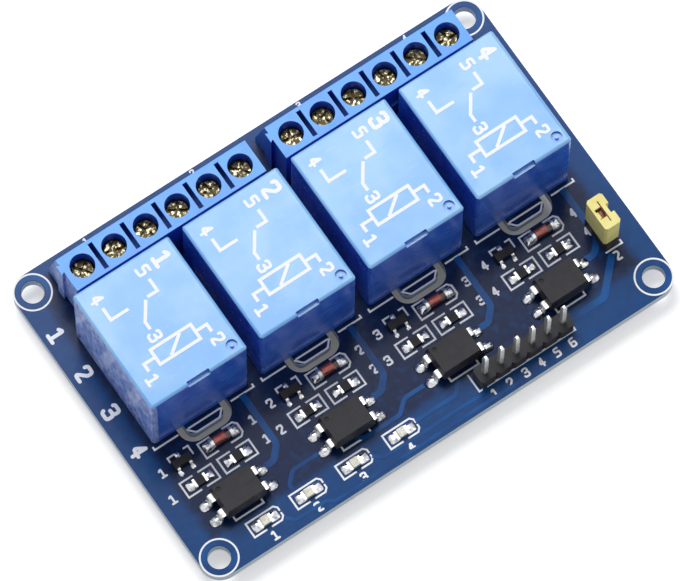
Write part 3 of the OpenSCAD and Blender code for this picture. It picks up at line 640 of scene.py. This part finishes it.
class Draft:
    """Points and faces in millimetres that become one mesh piece."""

    def __init__(self) -> None:
        """Starts empty."""
        self.points: list[tuple[float, float, float]] = []
        self.faces: list[tuple[int, ...]] = []
        self.strokes = 0

    def layer(self, top: float) -> float:
        """Gives each stroke a top a hair above the last one's, so that none that cross share a plane.

        Args:
            top: The usual height of the top.

        Returns:
            The height of this stroke's top.
        """
        self.strokes += 1
        return top + self.strokes % 9 * 0.0012

    def skin(self, rows: Sequence[Sequence[tuple[float, float, float]]], capped: bool = True) -> None:
        """Joins closed loops of equal length into a closed skin.

        Args:
            rows: The loops, each turning left as seen from the end.
            capped: Whether the first and last loops are closed with a face.
        """
        base, size = len(self.points), len(rows[0])
        for row in rows:
            self.points.extend(row)
        for r in range(len(rows) - 1):
            for k in range(size):
                low, high = base + r * size, base + (r + 1) * size
                self.faces.append((low + k, low + (k + 1) % size, high + (k + 1) % size, high + k))
        if capped:
            self.faces.append(tuple(base + k for k in reversed(range(size))))
            self.faces.append(tuple(base + (len(rows) - 1) * size + k for k in range(size)))

    def band(
        self, path: Sequence[Flat], width: float, low: float, high: float, closed: bool = False
    ) -> None:
        """Adds a flat band of one width along a path, with mitred turns.

        Args:
            path: The middle of the band.
            width: Its width.
            low: Height of its underside.
            high: Height of its top.
            closed: Whether its end joins its start.
        """
        spots = [Vector(spot) for spot in path]
        count = len(spots)
        high = self.layer(high)
        rows = []
        for i, spot in enumerate(spots):
            before = spots[i - 1] if closed or i else None
            after = spots[(i + 1) % count] if closed or i < count - 1 else None
            into = (spot - before).normalized() if before else (after - spot).normalized()
            out = (after - spot).normalized() if after else into
            middle = (into + out).normalized()
            side = Vector((-middle.y, middle.x)) * (width / 2 / max(middle.dot(into), 0.5))
            left, right = spot + side, spot - side
            rows.append([
                (left.x, left.y, low), (right.x, right.y, low), (right.x, right.y, high), (left.x, left.y, high)
            ])
        if closed:
            rows.append(rows[0])
        self.skin(rows, capped=not closed)

    def bar(self, start: Flat, end: Flat, width: float, low: float, high: float) -> None:
        """Adds a flat straight bar with round ends.

        Args:
            start: Middle of its first end.
            end: Middle of its other end.
            width: Its width.
            low: Height of its underside.
            high: Height of its top.
        """
        heading = math.atan2(end[1] - start[1], end[0] - start[0])
        outline = [
            (
                spot[0] + width / 2 * math.cos(heading + math.radians(turn)),
                spot[1] + width / 2 * math.sin(heading + math.radians(turn)),
            )
            for spot, turns in ((end, range(-90, 91, 30)), (start, range(90, 271, 30)))
            for turn in turns
        ]
        high = self.layer(high)
        self.skin([[(x, y, low) for x, y in outline], [(x, y, high) for x, y in outline]])

    def disc(
        self, centre: Flat, inner: float, outer: float, low: float, high: float, sides: int = 48
    ) -> None:
        """Adds a flat ring.

        Args:
            centre: Its middle.
            inner: Radius of its hole.
            outer: Its outer radius.
            low: Height of its underside.
            high: Height of its top.
            sides: How many flats go round it.
        """
        middle = (inner + outer) / 2
        turn = [2 * math.pi * k / sides for k in range(sides)]
        path = [(centre[0] + middle * math.cos(a), centre[1] + middle * math.sin(a)) for a in turn]
        self.band(path, outer - inner, low, high, closed=True)

    def mound(
        self, centre: Flat, half: Flat, peak: float, low: float, lean: Flat = (0.0, 0.0), square: float = 2.6
    ) -> None:
        """Adds a mound of solder with a soft square footprint.

        Args:
            centre: Middle of its footprint.
            half: Half its length along X and Y.
            peak: Its height.
            low: Height of what it stands on.
            lean: How far its top stands from the middle.
            square: Power of the footprint's outline: 2 is an ellipse, and more is squarer.
        """
        sides, rings = 28, 7
        rows = []
        for r in range(rings):
            reach = 1 - (r / rings) ** 1.1
            height = peak * (1 - reach ** 2.2) ** 0.8 if r else 0.0
            row = []
            for k in range(sides):
                a = 2 * math.pi * k / sides
                c, s = math.cos(a), math.sin(a)
                x = math.copysign(abs(c) ** (2 / square), c) * half[0] * reach
                y = math.copysign(abs(s) ** (2 / square), s) * half[1] * reach
                row.append((centre[0] + lean[0] * (1 - reach) + x, centre[1] + lean[1] * (1 - reach) + y, low + height))
            rows.append(row)
        self.skin(rows)

    def piece(self, name: str, smooth: bool = False) -> bpy.types.Object:
        """Makes the object.

        Args:
            name: The piece's name.
            smooth: Whether its faces are shaded as one smooth skin.

        Returns:
            The new object, linked to the scene.
        """
        mesh = bpy.data.meshes.new(name)
        mesh.from_pydata([tuple(value * MM for value in point) for point in self.points], [], self.faces)
        if smooth:
            mesh.polygons.foreach_set("use_smooth", [True] * len(mesh.polygons))
        mesh.validate()
        mesh.update()
        piece = bpy.data.objects.new(name, mesh)
        bpy.context.scene.collection.objects.link(piece)
        return piece


@dataclass
class Figures:
    """Plain printed figures, drawn as strokes in a cell that is one high."""

    stroke: float = 0.23
    advance: float = 0.86
    shapes: dict[str, list[list[Flat]]] = field(default_factory=lambda: {
        "1": [[(0.08, 0.78), (0.32, 0.96), (0.32, 0.04)], [(0.06, 0.04), (0.58, 0.04)]],
        "2": [[(0.02, 0.76), (0.06, 0.96), (0.56, 0.96), (0.56, 0.62), (0.04, 0.04), (0.6, 0.04)]],
        "3": [
            [(0.02, 0.84), (0.08, 0.96), (0.56, 0.96), (0.54, 0.56), (0.2, 0.52)],
            [(0.3, 0.53), (0.58, 0.5), (0.58, 0.04), (0.08, 0.04), (0.0, 0.18)],
        ],
        "4": [[(0.42, 0.04), (0.42, 0.96)], [(0.42, 0.96), (0.02, 0.32), (0.62, 0.32)]],
        "5": [[(0.56, 0.96), (0.08, 0.96), (0.06, 0.56), (0.58, 0.58), (0.58, 0.04), (0.02, 0.04)]],
        "6": [[(0.54, 0.96), (0.04, 0.9), (0.04, 0.04), (0.58, 0.04), (0.58, 0.54), (0.06, 0.5)]],
    })

    def write(
        self, draft: Draft, text: str, start: Flat, size: float, low: float, high: float, heading: Heading
    ) -> None:
        """Draws a line of figures.

        Args:
            draft: Takes the strokes.
            text: The figures.
            start: Lower left corner of the first one, as read.
            size: Their height.
            low: Height of the ink's underside.
            high: Height of the ink's top.
            heading: Which way the line runs.
        """
        (rx, ry), (ux, uy) = heading.value
        for place, figure in enumerate(text):
            for stroke in self.shapes.get(figure, []):
                path = [
                    (
                        start[0] + size * ((x + place * self.advance) * rx + y * ux),
                        start[1] + size * ((x + place * self.advance) * ry + y * uy),
                    )
                    for x, y in eased(stroke, 0.15, steps=3)
                ]
                for near, far in zip(path, path[1:]):
                    draft.bar(near, far, self.stroke * size, low, high)


@dataclass
class Layout:
    """Where the parts of the module stand, read from the boxes of the model's nodes."""

    relay_x: list[float]
    relay_front: float
    relay_top: float
    board_top: float
    board_half: Flat
    chip_y: float
    diode_y: float
    opto_y: float
    light_y: float
    header_y: float
    header_x: list[float]
    jumper: Flat
    hole: Flat = (35.35, 22.6)
    chip_dx: Flat = (-5.325, 0.8)
    diode_dx: float = 0.3
    opto_dx: float = -2.225
    transistor_dx: float = -5.85
    transistor_y: float = -8.7
    light_x: tuple[float, ...] = (-27.4, -20.4, -12.95, -5.35)

    @classmethod
    def read(cls) -> "Layout":
        """Reads the boxes.

        Returns:
            The layout in millimetres.
        """
        def box(node: str) -> list[list[float]]:
            """Gives a node's corners in millimetres."""
            return [[value / MM for value in corner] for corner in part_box(node)]

        def middle(node: str, axis: int) -> float:
            """Gives the middle of a node's box along one axis."""
            low, high = box(node)
            return (low[axis] + high[axis]) / 2

        relays = [box(f"relay_cover_{c}") for c in range(1, 5)]
        pins, cap = box("header_pins"), box("jumper_cap")
        pin_half, pin_pitch = 0.32, 2.54
        header_y = pins[0][1] + pin_half
        return cls(
            relay_x=[(low[0] + high[0]) / 2 for low, high in relays],
            relay_front=relays[0][0][1],
            relay_top=relays[0][1][2],
            board_top=box("circuit_board")[1][2],
            board_half=tuple(box("circuit_board")[1][:2]),
            chip_y=middle("resistor_bodies", 1),
            diode_y=middle("diode_bodies", 1),
            opto_y=middle("optocoupler_bodies", 1),
            light_y=middle("light_bodies", 1),
            header_y=header_y,
            header_x=[pins[0][0] + pin_half + k * pin_pitch for k in range(6)],
            jumper=((cap[0][0] + cap[1][0]) / 2, (cap[0][1] + cap[1][1]) / 2),
        )


@dataclass
class BoardPrint:
    """The white print on the board: outlines of the parts, and plain numbers beside them."""

    layout: Layout
    wardrobe: Wardrobe
    line: float = 0.26
    ink: float = 0.02
    ring: Flat = (2.48, 2.73)
    sunk: float = 0.01

    def build(self) -> None:
        """Draws all of it as one piece."""
        draft = Draft()
        low, high = self.layout.board_top - self.sunk, self.layout.board_top + self.ink
        for path in [*self.channel_lines(), *self.light_lines(), *self.single_lines()]:
            draft.band(path, self.line, low, high)
        for sx in (-1, 1):
            for sy in (-1, 1):
                centre = (sx * self.layout.hole[0], sy * self.layout.hole[1])
                draft.disc(centre, *self.ring, low, high)
        figures = Figures()
        for text, start, size, heading in self.numbers():
            figures.write(draft, text, start, size, low, high, heading)
        self.wardrobe.dress(draft.piece("board_print"), Slot.WHITE_INK, "module")

    def channel_lines(self) -> Iterable[list[Flat]]:
        """Gives the outlines that repeat with each relay.

        Returns:
            Paths in millimetres.
        """
        front = self.layout.relay_front - 0.6
        for x in self.layout.relay_x:
            yield [(x - 7.95, front + 0.5), (x - 7.95, front), (x - 4.15, front)]
            yield [(x - 2.6, front), (x + 2.65, front)]
            yield [(x + 4.3, front), (x + 8.05, front), (x + 8.05, front + 0.5)]
            yield eased([(x - 2.85, front), (x - 1.9, front - 1.05), (x + 1.9, front - 1.05), (x + 2.85, front)], 0.8)
            yield [(x - 6.0, -7.2), (x - 7.2, -7.2), (x - 7.2, -7.95)]
            yield [(x - 4.75, -7.2), (x - 3.95, -7.2), (x - 3.95, -8.6)]
            yield [(x - 0.85, -7.8), (x - 2.8, -7.8), (x - 2.8, -10.15), (x - 0.85, -10.15)]
            yield [(x + 1.1, -7.8), (x + 2.8, -7.8), (x + 3.3, -8.3), (x + 3.3, -9.65), (x + 2.8, -10.15), (x + 1.1, -10.15)]
            for left, right in ((-7.85, -2.8), (-1.8, 3.3)):
                for end, reach in ((left, 2.1), (right, -2.15)):
                    yield [(x + end + reach, -11.05), (x + end, -11.05), (x + end, -13.4), (x + end + reach, -13.4)]
            yield [(x - 4.45, -18.85), (x - 4.45, -19.55), (x + 0.05, -19.55), (x + 0.05, -18.85)]

    def light_lines(self) -> Iterable[list[Flat]]:
        """Gives the outlines round the lights.

        Returns:
            Paths in millimetres.
        """
        for x in self.layout.light_x:
            left, right, top, low, cut = x - 2.45, x + 2.4, -20.7, -22.95, 0.45
            yield [(x - 0.45, low), (left, low), (left, top), (right - cut, top), (right, top - cut), (right, top - 1.0)]
            yield [(right, top - 1.25), (right, low + cut), (right - cut, low), (x + 0.3, low)]

    def single_lines(self) -> list[list[Flat]]:
        """Gives the brackets at the header and at the jumper.

        Returns:
            Paths in millimetres.
        """
        first, last = self.layout.header_x[0], self.layout.header_x[-1]
        return [
            [(first - 1.65, -20.0), (first - 1.65, -22.85), (last + 1.3, -22.85), (last + 1.3, -22.3)],
            [(31.9, -16.2), (34.6, -16.2), (34.6, -15.6)],
        ]

    def numbers(self) -> Iterable[tuple[str, Flat, float, Heading]]:
        """Gives the plain numbers.

        Returns:
            Each text with its corner, its height and its heading.
        """
        names = ["1", "2", "3", "4"]
        for name, x, light in zip(names, self.layout.relay_x, self.layout.light_x):
            yield name, (x - 9.3, -9.15), 1.3, Heading.ALONG
            yield name, (x + 4.9, -9.6), 1.3, Heading.ALONG
            yield name, (x - 10.2, -13.0), 1.3, Heading.ALONG
            yield name, (x + 5.0, -12.9), 1.3, Heading.ALONG
            yield name, (light - 0.4, -24.8), 1.3, Heading.ALONG
            yield name, (x + 0.5, 24.3), 0.9, Heading.ALONG
        for place, x in enumerate(self.layout.header_x):
            yield str(place + 1), (x - 0.4, -24.75), 1.25, Heading.ALONG
        yield "1", (31.9, -10.9), 1.3, Heading.ALONG
        yield "2", (32.6, -18.0), 1.3, Heading.ALONG
        for place, name in enumerate(names):
            yield name, (-37.2, 16.4 - place * 6.6), 2.3, Heading.TOWARDS_FRONT


@dataclass
class CopperTracks:
    """The copper tracks under the mask on both faces, and the rings round the mounting holes."""

    layout: Layout
    wardrobe: Wardrobe
    copper: float = 0.035
    sunk: float = 0.01

    def build(self) -> None:
        """Makes the tracks of each face as one piece."""
        top = Draft()
        low, high = self.layout.board_top - self.sunk, self.layout.board_top + self.copper
        for path, width in self.top_paths():
            top.band(eased(path, 1.2), width, low, high)
        under = Draft()
        for path, width in self.under_paths():
            under.band(eased(path, 1.2), width, -self.copper, self.sunk)
        for sx in (-1, 1):
            for sy in (-1, 1):
                centre = (sx * self.layout.hole[0], sy * self.layout.hole[1])
                top.disc(centre, 1.72, 2.4, low, high)
                under.disc(centre, 1.72, 2.4, -self.copper, self.sunk)
        self.wardrobe.dress(top.piece("tracks_on_top"), Slot.MASKED_COPPER, "module")
        self.wardrobe.dress(under.piece("tracks_below"), Slot.MASKED_COPPER, "module")

    def top_paths(self) -> Iterable[tuple[list[Flat], float]]:
        """Gives the tracks on the component side.

        Returns:
            Paths and widths in millimetres.
        """
        for x in self.layout.relay_x:
            yield [(x + 6.1, -5.3), (x + 6.1, -13.6), (x + 4.4, -15.45), (x + 2.9, -15.45)], 0.95
        last = self.layout.header_x[-1]
        yield [(32.6, -16.7), (28.1, -21.3), (last + 1.2, -21.3)], 1.0
        yield [(-21.9, -20.4), (-21.9, -19.4), (-20.4, -17.95), (-14.9, -17.95)], 0.6
        yield [(0.9, -17.95), (-2.3, -17.95), (-4.1, -19.6), (-9.9, -19.6), (-11.6, -18.2)], 0.6
        yield [(5.1, -19.9), (3.7, -21.5), (-2.9, -21.5)], 0.6
        yield [(-10.5, -22.3), (-9.3, -23.35), (7.0, -23.35), (8.25, -22.2)], 0.5
        yield [(-25.0, -22.9), (-23.9, -24.0), (-19.0, -24.0), (-18.3, -24.7), (12.2, -24.7)], 0.5

    def under_paths(self) -> Iterable[tuple[list[Flat], float]]:
        """Gives the tracks on the solder side: wide ones to the terminals, and narrow coil feeds.

        Returns:
            Paths and widths in millimetres.
        """
        screw_y, contact_y, common_y, coil_y = 18.95, 11.95, -2.25, -0.25
        blocks = (-16.66, 17.02)
        for c, x in enumerate(self.layout.relay_x):
            poles = [blocks[c // 2] + (3 * (c % 2) + k - 2.5) * 5.08 for k in range(3)]
            yield [(x - 6.0, contact_y), (x - 6.0, contact_y + 2), (poles[0], screw_y - 2), (poles[0], screw_y)], 2.2
            yield [(x, common_y), (x, contact_y + 2), (poles[1], screw_y - 2), (poles[1], screw_y)], 2.6
            yield [(x + 6.0, contact_y), (x + 6.0, contact_y + 2), (poles[2], screw_y - 2), (poles[2], screw_y)], 2.2
            yield [(x + 6.0, coil_y), (x + 6.0, -11.5), (x + 4.5, -13.0)], 0.8
            yield [(x - 6.0, coil_y), (x - 6.0, -6.2)], 0.8
        yield [(-20.2, -13.8), (30.8, -13.8), (33.1, -14.67)], 1.2


@dataclass
class SolderWork:
    """Solder at the surface-mounted parts, and plated rings round the pins on the solder side."""

    layout: Layout
    wardrobe: Wardrobe
    pad: float = 0.03

    def build(self) -> None:
        """Makes the mounds and the rings."""
        mounds = Draft()
        for centre, half, peak, lean, square in self.mounds():
            mounds.mound(centre, half, peak, self.layout.board_top - 0.01, lean, square)
        self.wardrobe.dress(mounds.piece("solder_mounds", smooth=True), Slot.SOLDER, "module")
        rings = Draft()
        for centre, inner, outer in self.rings():
            rings.disc(centre, inner, outer, -0.045, 0.01, 32)
        self.wardrobe.dress(rings.piece("plated_rings"), Slot.TINNED_METAL, "module")

    def mounds(self) -> Iterable[tuple[Flat, Flat, float, Flat, float]]:
        """Gives the mounds.

        Returns:
            Centre, half size, height and lean of each, in millimetres, and how square it is.
        """
        place = self.layout
        blob, pad = 2.6, 5.0
        for x in place.relay_x:
            for dx in place.chip_dx:
                for side in (-1, 1):
                    yield (x + dx + side * 1.35, place.chip_y), (0.8, 0.74), 0.42, (-side * 0.4, 0.0), pad
            for side in (-1, 1):
                yield (x + place.diode_dx + side * 2.1, place.diode_y), (0.8, 0.8), 0.85, (-side * 0.3, 0.0), pad
                for row in (-1, 1):
                    centre = (x + place.opto_dx + side * 4.5, place.opto_y + row * 1.27 - 0.05)
                    yield centre, (0.95, 0.8), 0.66, (-side * 0.3, 0.0), blob
                foot = (x + place.transistor_dx + side * 0.95, place.transistor_y - 1.25)
                yield foot, (0.42, 0.55), 0.32, (0.0, 0.15), blob
            yield (x + place.transistor_dx, place.transistor_y + 1.2), (0.42, 0.5), 0.32, (0.0, -0.15), blob
        for x in place.light_x:
            for side in (-1, 1):
                yield (x + side * 1.3, place.light_y), (0.85, 0.78), 0.36, (-side * 0.4, 0.0), pad

    def rings(self) -> Iterable[tuple[Flat, float, float]]:
        """Gives the rings round the pins.

        Returns:
            Centre, inner and outer radius of each, in millimetres.
        """
        place = self.layout
        for x in place.relay_x:
            yield (x, -2.25), 0.8, 1.6
            for side in (-1, 1):
                yield (x + side * 6.0, 11.95), 0.6, 1.35
                yield (x + side * 6.0, -0.25), 0.5, 1.2
        for block in (-16.66, 17.02):
            for k in range(6):
                yield (block + (k - 2.5) * 5.08, 18.95), 0.7, 1.5
        for x in place.header_x:
            yield (x, place.header_y), 0.5, 1.1
        for row in (-1, 1):
            yield (place.jumper[0], place.jumper[1] + row * 1.27), 0.5, 1.1


@dataclass
class RelayPrint:
    """A plain contact diagram with the numbers of the pins, printed on each relay."""

    layout: Layout
    wardrobe: Wardrobe
    line: float = 0.46
    ink: float = 0.015

    def build(self) -> None:
        """Makes one piece of print for each relay."""
        figures = Figures()
        low, high = self.layout.relay_top - 0.01, self.layout.relay_top + self.ink
        for c, x in enumerate(self.layout.relay_x):
            draft = Draft()
            y = self.layout.relay_front
            for path, closed in self.diagram():
                draft.band([(x + u, y + v) for u, v in path], self.line, low, high, closed)
            for text, (u, v), size in self.numbers(c):
                figures.write(draft, text, (x + u, y + v), size, low, high, Heading.TOWARDS_FRONT)
            self.wardrobe.dress(draft.piece(f"relay_print_{c + 1}"), Slot.WHITE_INK, "module")

    def diagram(self) -> list[tuple[list[Flat], bool]]:
        """Gives the lines of the diagram from the middle of the relay's front edge.

        Returns:
            Paths in millimetres, and whether each closes.
        """
        return [
            ([(-3.2, 4.6), (3.2, 4.6), (3.2, 7.0), (-3.2, 7.0)], True),
            ([(-3.2, 5.8), (-5.0, 5.8), (-5.0, 4.6)], False),
            ([(3.2, 5.8), (5.0, 5.8), (5.0, 4.6)], False),
            ([(-1.3, 4.8), (1.3, 6.8)], False),
            ([(-1.6, 9.4), (-1.6, 10.6), (0.2, 13.2)], False),
            ([(-5.2, 15.4), (-5.2, 13.4), (-2.4, 13.4)], False),
            ([(2.2, 15.4), (2.2, 13.4), (0.6, 13.4)], False),
        ]

    def numbers(self, channel: int) -> list[tuple[str, Flat, float]]:
        """Gives the numbers of one relay.

        Args:
            channel: The relay's place in the row, from 0.

        Returns:
            Each text with its corner and its height.
        """
        return [
            ("1", (-6.1, 3.9), 1.8), ("2", (4.2, 3.9), 1.8), ("3", (-2.5, 8.8), 1.8),
            ("4", (-6.1, 17.4), 1.8), ("5", (1.3, 17.4), 1.8), (str(channel + 1), (4.0, 17.6), 2.5),
        ]


@dataclass
class Studio:
    """The pale floor, the soft light and the camera."""

    azimuth: float = 34.565
    elevation: float = 71.0
    roll: float = 0.43
    distance: float = 1.006
    target: tuple[float, float, float] = (-0.000855, -0.00045, 0.0016)
    lens: float = 394.4
    floor_z: float = -0.00185

    def build(self) -> None:
        """Sets up all three."""
        self.set_camera()
        self.lay_floor()
        self.set_world()
        self.hang_lamp("key_lamp", (0.06, 0.38, 0.62), 0.4, 3.8)
        self.hang_lamp("fill_lamp", (0.45, -0.30, 0.50), 0.5, 0.5)
        bpy.context.scene.view_settings.view_transform = "Standard"

    def set_camera(self) -> None:
        """Places the camera."""
        az, el, roll = (math.radians(v) for v in (self.azimuth, self.elevation, self.roll))
        look = Vector((math.sin(az) * math.cos(el), math.cos(az) * math.cos(el), -math.sin(el)))
        right = Vector((math.cos(az), -math.sin(az), 0.0))
        up = right.cross(look)
        right, up = (
            right * math.cos(roll) + up * math.sin(roll),
            up * math.cos(roll) - right * math.sin(roll),
        )
        data = bpy.data.cameras.new("camera")
        data.lens, data.sensor_width = self.lens, 36.0
        data.clip_start, data.clip_end = 0.05, 20.0
        camera = bpy.data.objects.new("camera", data)
        place = Vector(self.target) - look * self.distance
        turn = Matrix((right, up, -look)).transposed().to_4x4()
        camera.matrix_world = Matrix.Translation(place) @ turn
        bpy.context.scene.collection.objects.link(camera)
        bpy.context.scene.camera = camera

    def lay_floor(self) -> None:
        """Lays a wide round floor just below the pins, with a painted shadow under the board."""
        draft = Draft()
        sides, radius = 96, 1500.0
        rim = [
            (radius * math.cos(2 * math.pi * k / sides), radius * math.sin(2 * math.pi * k / sides))
            for k in range(sides)
        ]
        depth = self.floor_z / MM
        draft.skin([[(x, y, depth - 5) for x, y in rim], [(x, y, depth) for x, y in rim]])
        floor = draft.piece("floor")
        desk = ShaderDesk("floor_paper")
        # Painted shadow: the floor's glow for camera, glossy and transmission rays is much lower under the board.
        clear_of_painted_shadow_x = abs(desk.axis("X")).between(29.0, 33.0)
        clear_of_painted_shadow_y = abs(desk.axis("Y")).between(18.0, 22.0)
        glow_beside_painted_shadow = self.seen(desk) * (clear_of_painted_shadow_x.larger(clear_of_painted_shadow_y) * 0.38 + 0.1)
        paper = desk.noise(60.0, 2.0)
        floor.data.materials.append(desk.finish({
            "Base Color": desk.blend(paper, (0.80, 0.81, 0.82, 1), (0.83, 0.84, 0.85, 1)),
            "Roughness": 0.9,
            "Specular IOR Level": 0.0,
            "Emission Color": desk.blend(glow_beside_painted_shadow, (0, 0, 0, 1), (1, 1, 1, 1)),
            "Emission Strength": 1.0,
        }))

    @staticmethod
    def seen(desk: ShaderDesk) -> Signal:
        """Gives 1 for rays of the camera, of reflections and of what shows through glass.

        Args:
            desk: Takes the nodes.

        Returns:
            The signal.
        """
        path = desk.node("ShaderNodeLightPath")
        rays = [Signal(desk, path.outputs[f"Is {kind} Ray"]) for kind in ("Camera", "Glossy", "Transmission")]
        return rays[0].larger(rays[1]).larger(rays[2])

    def set_world(self) -> None:
        """Makes a white surround that lights the object softly."""
        world = bpy.data.worlds.new("surround")
        world.use_nodes = True
        bpy.context.scene.world = world
        tree = world.node_tree
        background = tree.nodes["Background"]
        path = tree.nodes.new("ShaderNodeLightPath")
        seen = tree.nodes.new("ShaderNodeMath")
        seen.operation = "MAXIMUM"
        tree.links.new(path.outputs["Is Camera Ray"], seen.inputs[0])
        either = tree.nodes.new("ShaderNodeMath")
        either.operation = "MAXIMUM"
        tree.links.new(path.outputs["Is Glossy Ray"], either.inputs[0])
        tree.links.new(path.outputs["Is Transmission Ray"], either.inputs[1])
        tree.links.new(either.outputs[0], seen.inputs[1])
        level = tree.nodes.new("ShaderNodeMapRange")
        level.inputs["To Min"].default_value = 0.32
        tree.links.new(seen.outputs[0], level.inputs["Value"])
        tree.links.new(level.outputs["Result"], background.inputs["Strength"])
        background.inputs["Color"].default_value = (1, 1, 1, 1)

    @staticmethod
    def hang_lamp(name: str, place: tuple[float, float, float], size: float, power: float) -> None:
        """Hangs a square soft lamp that faces the object.

        Args:
            name: Its name.
            place: Where it hangs, in metres.
            size: Its side in metres.
            power: Its power in watts.
        """
        data = bpy.data.lights.new(name, "AREA")
        data.size, data.energy = size, power
        lamp = bpy.data.objects.new(name, data)
        lamp.location = place
        lamp.rotation_euler = Vector(place).to_track_quat("Z", "Y").to_euler()
        bpy.context.scene.collection.objects.link(lamp)


def main() -> None:
    """Builds the classes in order."""
    logging.basicConfig(level=logging.INFO, format="%(message)s")
    Studio().build()
    wardrobe = Wardrobe()
    wardrobe.dress_nodes()
    layout = Layout.read()
    for part in (BoardPrint, CopperTracks, SolderWork, RelayPrint):
        part(layout, wardrobe).build()


if __name__ == "__main__":
    main()
